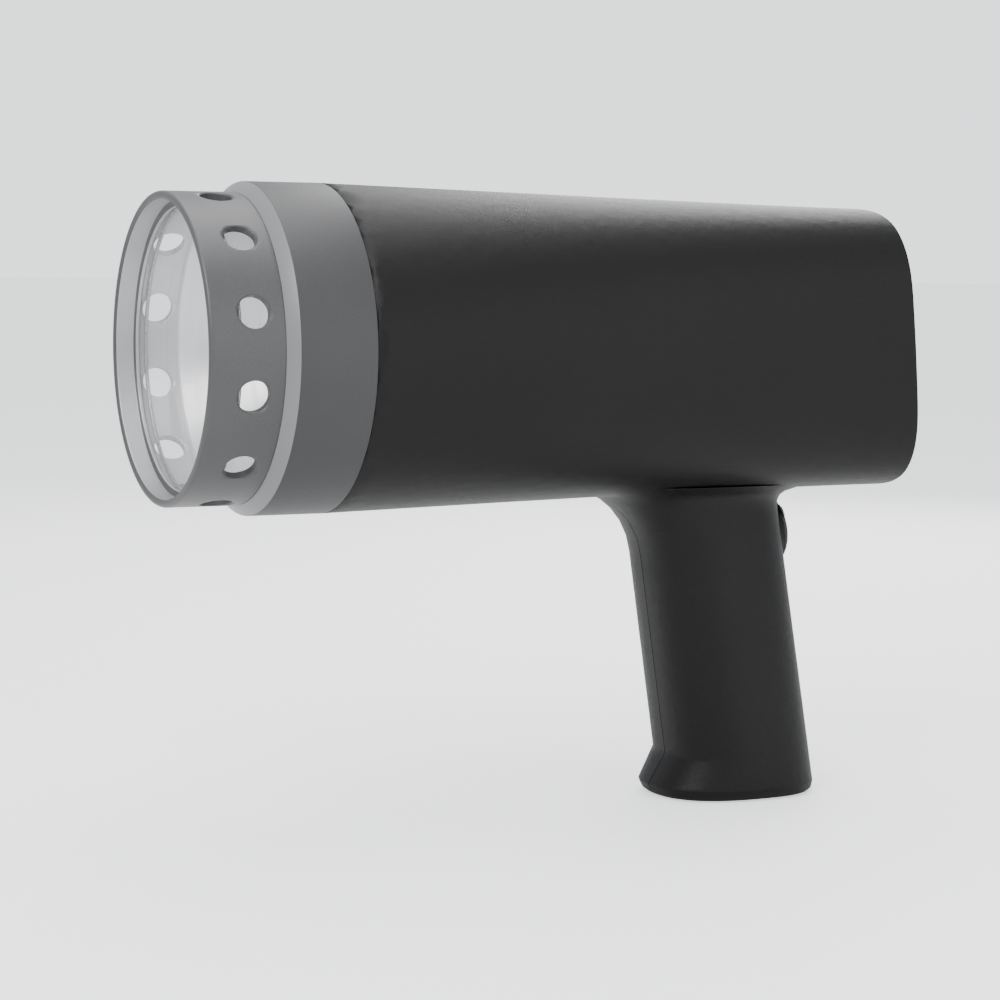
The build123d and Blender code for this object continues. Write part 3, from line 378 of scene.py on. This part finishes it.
wire = bpy.data.curves.new("trigger_wire", "CURVE")
wire.dimensions = "3D"
wire.bevel_depth = WIRE_RADIUS * MM
wire.bevel_resolution = 2
turns = wire.splines.new("NURBS")
steps = WIRE_TURNS * WIRE_STEPS + 1
turns.points.add(steps - 1)
wire_start = bend_y + 0.15 * leg.y
for step in range(steps):
    angle = math.tau * step / WIRE_STEPS
    reach = tube_radius + WIRE_RADIUS * MM
    along = wire_start + 0.5 * leg.y * step / (steps - 1)
    turns.points[step].co = (leg_x + reach * math.cos(angle), along, axis_height + reach * math.sin(angle), 1)
turns.order_u = 3
turns.use_endpoint_u = True
wire.materials.append(nickel)
trigger_wire = bpy.data.objects.new("trigger_wire", wire)
bpy.context.collection.objects.link(trigger_wire)
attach(trigger_wire, "light")


# ---------------------------------------------------------------- collar
# Dark grey collar turned from nylon bar that joins the vented hood to the shells. Its front edge is a
# chamfer, smoother than the matt outside and coloured much lighter as a painted highlight.
BAND_DARK = (0.030, 0.030, 0.0315)
BAND_LIGHT = (0.040, 0.040, 0.042)
BAND_CHAMFER = 3.3
BAND_SPIGOT = 10.3
HOOD_STEP = 0.55
SHELL_WALL = 2.55

band_low, band_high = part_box("grey_band")
band_radius = (band_high.z - band_low.z) / 2
hood_low, hood_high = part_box("vent_hood")
hood_radius = (hood_high.z - hood_low.z) / 2
chamfer_end = band_low.y + BAND_CHAMFER * MM
spigot_start = band_high.y - BAND_SPIGOT * MM
hood_fit = hood_radius - HOOD_STEP * MM
shell_fit = band_radius - SHELL_WALL * MM
shape = lathe([
    (band_low.y, hood_radius + 0.05 * MM), (chamfer_end, band_radius), (band_high.y, band_radius),
    (band_high.y, shell_fit), (spigot_start, shell_fit), (spigot_start, hood_fit), (band_low.y, hood_fit),
], segments=256)
eased(shape, 0.22 * MM)
band_nylon = moulded("dark_grey_nylon", BAND_DARK, BAND_LIGHT, 0.50, 2200.0, 0.06 * MM)
# The chamfer's light grey is a painted highlight, not the nylon's own colour.
chamfer_painted_highlight = moulded("grey_nylon_painted_highlight", (0.178, 0.178, 0.182), (0.186, 0.186, 0.190), 0.34, 1600.0, 0.0006 * MM)
band = finished(shape, "collar", band_nylon)
band.data.materials.append(chamfer_painted_highlight)
# Faces of the front chamfer get the painted highlight.
for face in band.data.polygons:
    slanted = 0.3 < -face.normal.y < 0.95
    if slanted and band_low.y < face.center.y < chamfer_end:
        face.material_index = 1
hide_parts("grey_band")


# ---------------------------------------------------------------- vented hood
# Turned grey nylon ring in front of the collar: a rounded lip, a rib that the lens lies against and twelve
# drilled vents with countersunk edges. Its bore is lacquered silver to throw the lamp's light forward.
HOOD_DARK = (0.052, 0.052, 0.054)
HOOD_LIGHT = (0.068, 0.068, 0.071)
HOOD_WALL = 2.4
HOOD_STEP_BACK = 12.0
RIB_THICKNESS = 1.2
RIB_DEPTH = 2.0
LIP_ROUND = 1.0
VENTS = 12
VENT_RADIUS = 4.8
VENT_SETBACK = 13.6
VENT_SINK = 0.5
VENT_FLARE = 3.0
SKIN_RINGS = 15

hood_bore = hood_radius - HOOD_WALL * MM
rib_back = lens_low.y
rib_front = rib_back - RIB_THICKNESS * MM
rib_bore = hood_bore - RIB_DEPTH * MM
step_y = hood_high.y - HOOD_STEP_BACK * MM
spigot_radius = hood_radius - 0.6 * MM
outside = [(rim_y + (step_y - rim_y) * ring / SKIN_RINGS, hood_radius) for ring in range(SKIN_RINGS + 1)]
bore_span = hood_high.y - rib_back
inside = [(hood_high.y - bore_span * ring / SKIN_RINGS, hood_bore) for ring in range(SKIN_RINGS + 1)]
shape = lathe(outside + [(step_y, spigot_radius), (hood_high.y, spigot_radius)] + inside
              + [(rib_back, rib_bore), (rib_front, rib_bore), (rib_front, hood_bore), (rim_y, hood_bore)],
              segments=288)
lip = [edge for edge in shape.edges if all(abs(end.co.y - rim_y) < 0.01 * MM for end in edge.verts)
       and edge.calc_face_angle(0) > math.radians(60)]
bmesh.ops.bevel(shape, geom=lip, affect="EDGES", offset=LIP_ROUND * MM, offset_type="OFFSET", segments=5,
                profile=0.5, material=-1, clamp_overlap=True)
eased(shape, 0.2 * MM, angle=60.0)
hood_nylon = moulded("mid_grey_nylon", HOOD_DARK, HOOD_LIGHT, 0.40, 2200.0, 0.05 * MM)
silver_lacquer = moulded("silver_lacquer", (0.54, 0.54, 0.55), (0.58, 0.58, 0.59), 0.34, 1400.0, 0.001 * MM)
silver_lacquer.node_tree.nodes["Principled BSDF"].inputs["Metallic"].default_value = 0.7
hood = finished(shape, "hood_ring", hood_nylon)
hood.data.materials.append(silver_lacquer)
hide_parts("vent_hood")


def cut_out(piece, tool_shape):
    """Cut a bmesh out of a piece and keep the result as its mesh."""
    mesh = bpy.data.meshes.new("tool")
    tool_shape.to_mesh(mesh)
    tool_shape.free()
    tool = bpy.data.objects.new("tool", mesh)
    bpy.context.collection.objects.link(tool)
    cutting = piece.modifiers.new("cutting", "BOOLEAN")
    cutting.operation = "DIFFERENCE"
    cutting.solver = "EXACT"
    cutting.object = tool
    graph = bpy.context.evaluated_depsgraph_get()
    result = bpy.data.meshes.new_from_object(piece.evaluated_get(graph))
    piece.modifiers.remove(cutting)
    piece.data = result
    bpy.data.objects.remove(tool)


shape = bmesh.new()
vent_y = rim_y + VENT_SETBACK * MM
flare_start = hood_radius - VENT_SINK * MM
inwards = Matrix.Translation((0, 0, flare_start - 2 * HOOD_WALL * MM))
for vent in range(VENTS):
    turn = math.tau * (vent + 0.5) / VENTS
    outwards = Matrix.Translation((0, vent_y, axis_height)) @ Matrix.Rotation(turn, 4, "Y")
    drill = bmesh.ops.create_cone(shape, cap_ends=True, segments=64, radius1=VENT_RADIUS * MM,
                                  radius2=VENT_RADIUS * MM, depth=4 * HOOD_WALL * MM,
                                  matrix=outwards @ inwards)
    top = [face for face in shape.faces if len(face.verts) == 64 and face.verts[0] in drill["verts"]
           and (outwards.inverted() @ face.calc_center_median()).z > flare_start - 0.1 * MM]
    grown = bmesh.ops.extrude_discrete_faces(shape, faces=top)["faces"]
    rise = outwards.to_3x3() @ Vector((0, 0, VENT_FLARE * MM))
    for face in grown:
        bmesh.ops.translate(shape, verts=face.verts, vec=rise)
        widened = 1 + VENT_FLARE / VENT_RADIUS
        bmesh.ops.scale(shape, verts=face.verts, vec=(widened, widened, 1.0),
                        space=(outwards.inverted()))
bmesh.ops.recalc_face_normals(shape, faces=shape.faces)
cut_out(hood, shape)
for face in hood.data.polygons:
    reach = Vector((face.center.x, 0, face.center.z - axis_height))
    if reach.length < hood_bore + 0.1 * MM and face.normal.dot(reach) < -0.9 * reach.length:
        face.material_index = 1


# ---------------------------------------------------------------- lens and its ring
# Flat disc of clear acrylic with polished faces, faintly milky, dropped in from behind against the rib.
# A spring-steel ring, open at the bottom, holds it there.
lens_radius = (lens_high.z - lens_low.z) / 2
shape = lathe([(lens_low.y, 0), (lens_low.y, lens_radius), (lens_high.y, lens_radius), (lens_high.y, 0)],
              segments=144, closed=False)
acrylic = clear("clear_acrylic", (0.93, 0.94, 0.96), 0.22, 0.06)
lens = finished(eased(shape, 0.3 * MM, angle=60.0), "lens", acrylic)
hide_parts("lens_glass")
dress(metal("spring_steel", (0.22, 0.22, 0.23), (0.34, 0.34, 0.35), 0.30), "lens_snap_ring")


# ---------------------------------------------------------------- control panel plate
# Silver-grey plate, satin painted and printed in dark grey: a line round each key and a curved
# double arrow over each knob. It lies on a ledge just inside the shells' rim.
PANEL_SILVER = ((0.40, 0.40, 0.415), (0.46, 0.46, 0.475))
INK_THICKNESS = 0.02
KEY_LINE = 0.42
KEY_LINE_GAP = 0.75
KEY_LINE_CORNER = 2.4
KEY_FLANGE = 0.7
ARC_RADIUS = 11.6
ARC_HALF_ANGLE = 33.0
ARC_WIDTH = 0.3
ARROW_RADIUS = 0.95
TICK_ANGLE = 48.0
TICK_LENGTH = 1.5

turns_on = {joint["name"]: joint for joint in frame["joints"]}
panel_normal = Vector(turns_on["fine_knob_turn"]["axis"])
knob_foot = Vector(turns_on["fine_knob_turn"]["pos_m"])
climb = (knob_foot.z - axis_height) / panel_normal.y
on_panel = Matrix((
    (-1, 0, 0, 0),
    (0, -panel_normal.z, panel_normal.y, knob_foot.y + climb * panel_normal.z),
    (0, panel_normal.y, panel_normal.z, axis_height),
    (0, 0, 0, 1),
))


def panel_box(node_name):
    """Lowest and highest corner of a CAD node as the user faces the panel: right, up and towards the user."""
    to_panel = on_panel.inverted()
    spots = [to_panel @ vertex.co for vertex in frame["nodes"][node_name].data.vertices]
    low = Vector([min(spot[i] for spot in spots) for i in range(3)])
    high = Vector([max(spot[i] for spot in spots) for i in range(3)])
    return low, high


def rounded_plate(shape, middle, width, height, corner):
    """Flat rounded rectangle about a point of the panel; returns its face."""
    matrix = Matrix.Translation(middle) @ Matrix.Diagonal((width, height, 1, 1))
    verts = bmesh.ops.create_grid(shape, x_segments=1, y_segments=1, size=0.5, matrix=matrix)["verts"]
    bmesh.ops.bevel(shape, geom=verts, affect="VERTICES", offset=corner, offset_type="OFFSET", segments=6,
                    profile=0.5, material=-1)
    return max((face for face in shape.faces if (face.calc_center_median() - middle).length < 0.1 * MM),
               key=lambda face: face.calc_area())


def printed(shape, name, finish, body="light", thickness=INK_THICKNESS):
    """Piece of ink or film: flat faces in the panel's directions, given a thickness towards the user."""
    bmesh.ops.recalc_face_normals(shape, faces=shape.faces)
    for face in shape.faces:
        if face.normal.z < 0:
            face.normal_flip()
    raised = bmesh.ops.extrude_face_region(shape, geom=shape.faces[:], use_keep_orig=True)["geom"]
    bmesh.ops.translate(shape, verts=[part for part in raised if isinstance(part, bmesh.types.BMVert)],
                        vec=(0, 0, thickness * MM))
    bmesh.ops.recalc_face_normals(shape, faces=shape.faces)
    bmesh.ops.transform(shape, matrix=on_panel, verts=shape.verts)
    return finished(shape, name, finish, body)


satin_silver, tree, shader = material("satin_silver_paint")
flake = noise(tree, 5200.0, 2.0, 0.7)
tree.links.new(between(tree, spread(tree, flake, 0.0, 1.0), *PANEL_SILVER), shader.inputs["Base Color"])
tree.links.new(spread(tree, flake, 0.36, 0.50), shader.inputs["Roughness"])
shader.inputs["Metallic"].default_value = 0.35
bumped(tree, shader, flake, 0.02 * MM)
smooth_copy("fascia_plate", "panel_plate", satin_silver)

panel_face = panel_box("fascia_plate")[1].z
ink = moulded("dark_grey_ink", (0.055, 0.055, 0.060), (0.070, 0.070, 0.075), 0.45, 1500.0, 0.005 * MM)
shape = bmesh.new()
for key in range(1, 5):
    key_low, key_high = panel_box(f"key_{key}")
    middle = (key_low + key_high) / 2
    middle.z = panel_face
    reach = 2 * (KEY_LINE_GAP + KEY_LINE - KEY_FLANGE) * MM
    width, height = key_high.x - key_low.x + reach, key_high.y - key_low.y + reach
    plate = rounded_plate(shape, middle, width, height, KEY_LINE_CORNER * MM)
    bmesh.ops.inset_region(shape, faces=[plate], thickness=KEY_LINE * MM, use_boundary=True,
                           use_even_offset=True)
    bmesh.ops.delete(shape, geom=[plate], context="FACES")
printed(shape, "key_outlines", ink)


def spot_on_panel(joint_name):
    """Where a joint's axis meets the panel's rim plane, in the panel's directions."""
    return on_panel.inverted() @ Vector(turns_on[joint_name]["pos_m"])


shape = bmesh.new()
for joint_name in ("fine_knob_turn", "coarse_knob_turn"):
    centre = spot_on_panel(joint_name)
    centre.z = panel_face
    start = math.radians(-ARC_HALF_ANGLE)
    inner = shape.verts.new(centre + Vector((0, (ARC_RADIUS - ARC_WIDTH / 2) * MM, 0)))
    outer = shape.verts.new(centre + Vector((0, (ARC_RADIUS + ARC_WIDTH / 2) * MM, 0)))
    line = shape.edges.new((inner, outer))
    bmesh.ops.rotate(shape, verts=[inner, outer], cent=centre, matrix=Matrix.Rotation(start, 3, "Z"))
    bmesh.ops.spin(shape, geom=[inner, outer, line], cent=centre, axis=(0, 0, 1), dvec=(0, 0, 0),
                   angle=-2 * start, steps=24)
    for way in (-1, 1):
        tip = math.radians(way * ARC_HALF_ANGLE)
        head = Matrix.Translation(centre) @ Matrix.Rotation(tip, 4, "Z") @ Matrix.Translation(
            (0, ARC_RADIUS * MM, 0)) @ Matrix.Rotation(way * math.pi / 2, 4, "Z")
        bmesh.ops.create_circle(shape, cap_ends=True, segments=3, radius=ARROW_RADIUS * MM, matrix=head)
        tick = Matrix.Translation(centre) @ Matrix.Rotation(math.radians(way * TICK_ANGLE), 4, "Z") @ (
            Matrix.Translation((0, ARC_RADIUS * MM, 0))
            @ Matrix.Diagonal((ARC_WIDTH * MM, TICK_LENGTH * MM, 1, 1)))
        bmesh.ops.create_grid(shape, x_segments=1, y_segments=1, size=0.5, matrix=tick)
printed(shape, "knob_arrows", ink)


# ---------------------------------------------------------------- display
# Dark plastic border, a clear window and a grey liquid-crystal glass that reads 1582. The digits are made
# of seven slanted bars each, printed as dark film just in front of the glass.
LCD_GREY = ((0.36, 0.37, 0.36), (0.41, 0.42, 0.41))
BORDER_GREY = ((0.030, 0.030, 0.032), (0.042, 0.042, 0.045))
READING = "1582"
LIT_BARS = {"1": "bc", "2": "abged", "5": "afgcd", "8": "abcdefg"}
DIGIT_HEIGHT = 12.4
DIGIT_WIDTH = 6.2
DIGIT_PITCH = 9.3
DIGIT_SLANT = 0.12
BAR_WIDTH = 1.6
BAR_GAP = 0.22
LAST_DIGIT = 15.0
FILM_GAP = 0.05
FILM_THICKNESS = 0.1

border_plastic = moulded("dark_border_plastic", *BORDER_GREY, 0.40, 1600.0, 0.03 * MM)
smooth_copy("display_frame", "display_border", border_plastic)
smooth_copy("display_window", "display_pane", clear("clear_window", (0.12, 0.13, 0.13), 0.05, 0.05))
lcd, tree, shader = material("liquid_crystal_glass")
clouds = noise(tree, 90.0, 2.0)
tree.links.new(between(tree, spread(tree, clouds, 0.0, 1.0), *LCD_GREY), shader.inputs["Base Color"])
tree.links.new(spread(tree, clouds, 0.28, 0.36), shader.inputs["Roughness"])
shader.inputs["Coat Weight"].default_value = 0.2
dress(lcd, "display_glass")
dress(moulded("contact_rubber", (0.030, 0.030, 0.030), (0.16, 0.06, 0.06), 0.60, 1200.0, 0.03 * MM),
      "display_connectors")


def seven_bars(shape, centre, names):
    """Bars of one digit; a is the top, b to f run on clockwise, and g is the middle."""
    half_height = (DIGIT_HEIGHT - BAR_WIDTH) / 2 * MM
    half_width = (DIGIT_WIDTH - BAR_WIDTH) / 2 * MM
    level = {"a": half_height, "g": 0.0, "d": -half_height}
    upright = {"b": (half_width, 0.5), "c": (half_width, -0.5),
               "e": (-half_width, -0.5), "f": (-half_width, 0.5)}
    lean = Matrix(((1, DIGIT_SLANT, 0, 0), (0, 1, 0, 0), (0, 0, 1, 0), (0, 0, 0, 1)))
    for name in names:
        if name in level:
            place = Matrix.Translation((0, level[name], 0))
            length = 2 * half_width
        else:
            x, share = upright[name]
            place = Matrix.Translation((x, share * half_height, 0)) @ Matrix.Rotation(math.pi / 2, 4, "Z")
            length = half_height
        length += (BAR_WIDTH - 2 * BAR_GAP) * MM
        size = Matrix.Diagonal((length, BAR_WIDTH * MM, 1, 1))
        corners = bmesh.ops.create_grid(shape, x_segments=1, y_segments=1, size=0.5,
                                        matrix=place @ size)["verts"]
        cut = bmesh.ops.bevel(shape, geom=corners, affect="VERTICES", offset=0.46 * BAR_WIDTH * MM,
                              offset_type="OFFSET", segments=1, profile=0.5, material=-1)["verts"]
        bmesh.ops.transform(shape, matrix=Matrix.Translation(centre) @ lean, verts=cut)


glass_low, glass_high = panel_box("display_glass")
glass_middle = (glass_low + glass_high) / 2
bar_dark = moulded("dark_bar_film", (0.004, 0.004, 0.005), (0.008, 0.008, 0.009), 0.45, 900.0, 0.002 * MM)
bar_dark.node_tree.nodes["Principled BSDF"].inputs["Specular IOR Level"].default_value = 0.1
shape = bmesh.new()
for place, digit in enumerate(READING):
    across = (LAST_DIGIT - DIGIT_PITCH * (len(READING) - 1 - place)) * MM
    seven_bars(shape, Vector((across, glass_middle.y, glass_high.z + FILM_GAP * MM)), LIT_BARS[digit])
printed(shape, "display_digits", bar_dark, thickness=FILM_THICKNESS)


# ---------------------------------------------------------------- keys
# Four white rubber-soft plastic keys with small raised marks, each over its own push switch.
# Their marks are plain signs in dark grey ink.
key_white = moulded("white_key_plastic", (0.76, 0.76, 0.77), (0.84, 0.84, 0.85), 0.42, 1500.0, 0.02 * MM)
dress(black_plastic, "key_switches")
SIGN = 2.6
SIGN_WIDTH = 0.55


def sign_bar(shape, middle, width, height):
    """Upright or level bar of a key's sign."""
    matrix = Matrix.Translation(middle) @ Matrix.Diagonal((width * MM, height * MM, 1, 1))
    bmesh.ops.create_grid(shape, x_segments=1, y_segments=1, size=0.5, matrix=matrix)


for key in range(1, 5):
    smooth_copy(f"key_{key}", f"key_cap_{key}", key_white, f"key_{key}", limit=50.0)
    key_low, key_high = panel_box(f"key_{key}")
    middle = (key_low + key_high) / 2
    middle.z = key_high.z
    shape = bmesh.new()
    if key in (1, 3):
        sign_bar(shape, middle, SIGN, SIGN_WIDTH)
    if key == 1:
        for way in (-1, 1):
            arm = (SIGN - SIGN_WIDTH) / 4 + SIGN_WIDTH / 2
            sign_bar(shape, middle + Vector((0, way * arm * MM, 0)), SIGN_WIDTH, (SIGN - SIGN_WIDTH) / 2)
    if key == 2:
        bmesh.ops.create_circle(shape, cap_ends=True, segments=3, radius=SIGN / 2 * MM,
                                matrix=Matrix.Translation(middle + Vector((0, 0.4 * MM, 0))))
        sign_bar(shape, middle - Vector((0, 1.5 * MM, 0)), SIGN, SIGN_WIDTH)
    if key == 4:
        for row in (-1, 1):
            sign_bar(shape, middle + Vector((0, row * 0.75 * MM, 0)), 1.4 * SIGN, SIGN_WIDTH)
    printed(shape, f"key_sign_{key}", ink, f"key_{key}")


# ---------------------------------------------------------------- knobs
# Two domed knobs moulded in satin grey with fine ribs round the side and a white dot to read them by.
# Each is pushed on a steel shaft that comes through a nut on the panel.
KNOB_GREY = ((0.150, 0.150, 0.155), (0.168, 0.168, 0.173))
KNOB_RADIUS = 8.9
KNOB_HEIGHT = 11.5
KNOB_SKIRT = 3.0
KNOB_HOLLOW = 7.3
KNOB_HOLLOW_DEPTH = 3.2
RIBS = 40
RIB_CUT = 0.22
RIBBED_SHARE = 0.62
DOME_RINGS = 30
DOT_RADIUS = 0.85
DOT_TURN = -38.0

knob_plastic = moulded("satin_knob_plastic", *KNOB_GREY, 0.32, 1800.0, 0.0006 * MM, coat=0.3)
dot_white = moulded("white_dot_ink", (0.80, 0.80, 0.80), (0.86, 0.86, 0.86), 0.40, 900.0, 0.01 * MM)
for name in ("fine", "coarse"):
    centre = spot_on_panel(f"{name}_knob_turn")
    foot = panel_box(f"{name}_knob")[0].z
    shape = bmesh.new()
    profile = [(KNOB_HOLLOW * MM, 0.0), (KNOB_RADIUS * MM, 0.0)]
    for ring in range(DOME_RINGS + 1):
        angle = math.pi / 2 * ring / DOME_RINGS
        radius = KNOB_RADIUS * max(0.0, math.cos(angle)) ** 0.75
        profile.append((radius * MM, (KNOB_SKIRT + (KNOB_HEIGHT - KNOB_SKIRT) * math.sin(angle)) * MM))
    points = [shape.verts.new((radius, 0, rise)) for radius, rise in profile[:-1]]
    points.append(shape.verts.new((0, 0, KNOB_HEIGHT * MM)))
    inner = shape.verts.new((KNOB_HOLLOW * MM, 0, KNOB_HOLLOW_DEPTH * MM))
    middle = shape.verts.new((0, 0, KNOB_HOLLOW_DEPTH * MM))
    chain = [middle, inner] + points
    edges = [shape.edges.new(pair) for pair in zip(chain, chain[1:])]
    bmesh.ops.spin(shape, geom=chain + edges, cent=(0, 0, 0), axis=(0, 0, 1), dvec=(0, 0, 0), angle=math.tau,
                   steps=RIBS * 4, use_merge=True, use_duplicate=False)
    bmesh.ops.remove_doubles(shape, verts=shape.verts, dist=0.002 * MM)
    bmesh.ops.recalc_face_normals(shape, faces=shape.faces)
    ribbed_top = (KNOB_SKIRT + RIBBED_SHARE * (KNOB_HEIGHT - KNOB_SKIRT)) * MM
    for vert in shape.verts:
        radius = vert.co.xy.length
        on_dome = vert.co.z > KNOB_SKIRT * MM and radius > 0.4 * KNOB_RADIUS * MM
        if on_dome or radius > (KNOB_HOLLOW + 0.3) * MM:
            fade = min(1.0, max(0.0, (ribbed_top - vert.co.z) / (1.5 * MM)))
            turn = math.atan2(vert.co.y, vert.co.x)
            cut = RIB_CUT * MM * fade * (0.5 + 0.5 * math.cos(RIBS * turn))
            vert.co.xy *= (radius - cut) / radius
    bmesh.ops.transform(shape, verts=shape.verts,
                        matrix=on_panel @ Matrix.Translation((centre.x, centre.y, foot)))
    knob = finished(shape, f"{name}_knob_cap", knob_plastic, f"{name}_knob", limit=50.0)
    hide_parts(f"{name}_knob")

    angle = math.radians(52.0)
    dot_reach = KNOB_RADIUS * math.cos(angle) ** 0.75 * MM
    dot_rise = foot + (KNOB_SKIRT + (KNOB_HEIGHT - KNOB_SKIRT) * math.sin(angle)) * MM
    shape = bmesh.new()
    turned = Matrix.Rotation(math.radians(DOT_TURN), 4, "Z")
    matrix = on_panel @ Matrix.Translation((centre.x, centre.y, dot_rise)) @ turned @ Matrix.Translation(
        (0, dot_reach, 0)) @ Matrix.Rotation(-angle * 0.7, 4, "X") @ Matrix.Diagonal((1, 1, 0.3, 1))
    bmesh.ops.create_uvsphere(shape, u_segments=24, v_segments=12, radius=DOT_RADIUS * MM, matrix=matrix)
    finished(shape, f"{name}_knob_dot", dot_white, f"{name}_knob")

dress(nickel, "fine_shaft", "coarse_shaft", "potentiometer_nuts")
dress(zinc, "fine_potentiometer", "coarse_potentiometer")


# ---------------------------------------------------------------- trigger socket
# Small black jack socket under the knobs, its barrel flush with the panel's face.
smooth_copy("trigger_socket", "trigger_jack", black_plastic)


# ---------------------------------------------------------------- rocker switch
# Round snap-in switch at the top of the grip's back: a glossy black bezel and a two-faced rocker with a
# white bar for on and a white ring for off. It is off, its lower half pressed in.
ROCKER_CREST = 3.8
ROCKER_TILT = 10.0
ROCKER_SLOPE = 10.6
MARK_DISTANCE = 4.6
MARK_SIZE = 2.4
MARK_WIDTH = 0.45
GRIP_RAKE = 9.2
MARK_THICKNESS = 2 * INK_THICKNESS
GLOSS_BLACK = ((0.008, 0.008, 0.009), (0.012, 0.012, 0.013))
TO_FACE = Matrix(((-1, 0, 0, 0), (0, 0, 1, 0), (0, 1, 0, 0), (0, 0, 0, 1)))

gloss_black = moulded("gloss_black_plastic", *GLOSS_BLACK, 0.16, 700.0, 0.005 * MM)
smooth_copy("switch_body", "switch_bezel", gloss_black)
smooth_copy("switch_rocker", "switch_paddle", gloss_black, "switch_rocker")
dress(nickel, "switch_terminals")
pivot = Vector(turns_on["switch_rock"]["pos_m"])
rest = Matrix.Translation(pivot) @ Matrix.Rotation(math.radians(GRIP_RAKE - ROCKER_TILT), 4, "X")
for name, side in (("on", 1), ("off", -1)):
    face = rest @ Matrix.Translation((0, ROCKER_CREST * MM, 0)) @ Matrix.Rotation(
        math.radians(-side * ROCKER_SLOPE), 4, "X") @ TO_FACE
    shape = bmesh.new()
    middle = Vector((0, side * MARK_DISTANCE * MM, 0))
    if name == "on":
        sign_bar(shape, middle, MARK_WIDTH, MARK_SIZE)
    else:
        bmesh.ops.create_circle(shape, cap_ends=True, segments=40, radius=MARK_SIZE / 2 * MM,
                                matrix=Matrix.Translation(middle))
        ring_face = shape.faces[:]
        bmesh.ops.inset_region(shape, faces=ring_face, thickness=MARK_WIDTH * MM, use_boundary=True,
                               use_even_offset=True)
        bmesh.ops.delete(shape, geom=ring_face, context="FACES")
    raised = bmesh.ops.extrude_face_region(shape, geom=shape.faces[:], use_keep_orig=True)["geom"]
    bmesh.ops.translate(shape, verts=[part for part in raised if isinstance(part, bmesh.types.BMVert)],
                        vec=(0, 0, MARK_THICKNESS * MM))
    bmesh.ops.recalc_face_normals(shape, faces=shape.faces)
    bmesh.ops.transform(shape, matrix=face, verts=shape.verts)
    finished(shape, f"switch_mark_{name}", dot_white, "switch_rocker")


# ---------------------------------------------------------------- floor, light and camera
FLOOR_SIZE = 60.0
FLOOR_DROP = 0.0002
FLOOR_GLOW = 1.0
SKY_SEEN = 2.1
CAMERA_ANGLES = (64.5, 5.2, 0.5)
CAMERA_DISTANCE = 0.806
AIM_BEHIND_RIM = 0.112
AIM_BELOW_AXIS = 0.048


def area_light(name, place, aim, size, power):
    """Soft white light, a rectangle at a place, aimed at a point."""
    data = bpy.data.lights.new(name, "AREA")
    data.shape = "RECTANGLE"
    data.size, data.size_y = size
    data.energy = power
    lamp = bpy.data.objects.new(name, data)
    lamp.location = place
    lamp.rotation_euler = (Vector(aim) - Vector(place)).to_track_quat("-Z", "Y").to_euler()
    bpy.context.collection.objects.link(lamp)


bpy.ops.mesh.primitive_plane_add(size=FLOOR_SIZE, location=(0, 0, -FLOOR_DROP))
floor = bpy.context.object
floor.name = "floor"
paper, tree, shader = material("pale_paper")
shader.inputs["Base Color"].default_value = (0.82, 0.82, 0.82, 1)
shader.inputs["Roughness"].default_value = 0.8
seen = node(tree, "ShaderNodeLightPath").outputs["Is Camera Ray"]
glow = node(tree, "ShaderNodeMath", operation="MULTIPLY")
tree.links.new(seen, glow.inputs[0])
glow.inputs[1].default_value = FLOOR_GLOW
tree.links.new(glow.outputs[0], shader.inputs["Emission Strength"])
shader.inputs["Emission Color"].default_value = (0.96, 0.98, 1.0, 1)
floor.data.materials.append(paper)

world = bpy.data.worlds.new("studio")
bpy.context.scene.world = world
world.use_nodes = True
world.node_tree.nodes["Background"].inputs["Color"].default_value = (0.9, 0.92, 0.95, 1)
seen = node(world.node_tree, "ShaderNodeLightPath").outputs["Is Camera Ray"]
strength = node(world.node_tree, "ShaderNodeMapRange", Value=seen, To_Min=1.0, To_Max=SKY_SEEN)
world.node_tree.links.new(strength.outputs["Result"], world.node_tree.nodes["Background"].inputs["Strength"])

middle = (0.0, -0.08, 0.11)
area_light("key", (0.55, -0.75, 0.85), middle, (0.7, 0.7), 11.0)
area_light("fill", (0.95, 0.35, 0.35), middle, (0.6, 0.8), 3.0)
area_light("top", (-0.1, -0.05, 1.0), middle, (0.6, 0.9), 7.0)
area_light("back", (-0.7, 0.5, 0.6), middle, (0.5, 0.8), 6.0)

camera_data = bpy.data.cameras.new("camera")
camera = bpy.data.objects.new("camera", camera_data)
bpy.context.collection.objects.link(camera)
azimuth, elevation, roll = (math.radians(angle) for angle in CAMERA_ANGLES)
aim = Vector((0.0, rim_y + AIM_BEHIND_RIM, axis_height - AIM_BELOW_AXIS))
back = Vector((math.sin(azimuth) * math.cos(elevation), -math.cos(azimuth) * math.cos(elevation),
               math.sin(elevation)))
camera.location = aim + back * CAMERA_DISTANCE
facing = (-back).to_track_quat("-Z", "Y").to_matrix()
camera.rotation_euler = (facing @ Matrix.Rotation(roll, 3, "Z")).to_euler()
camera_data.sensor_width = 36.0
camera_data.lens = 92.0
bpy.context.scene.camera = camera
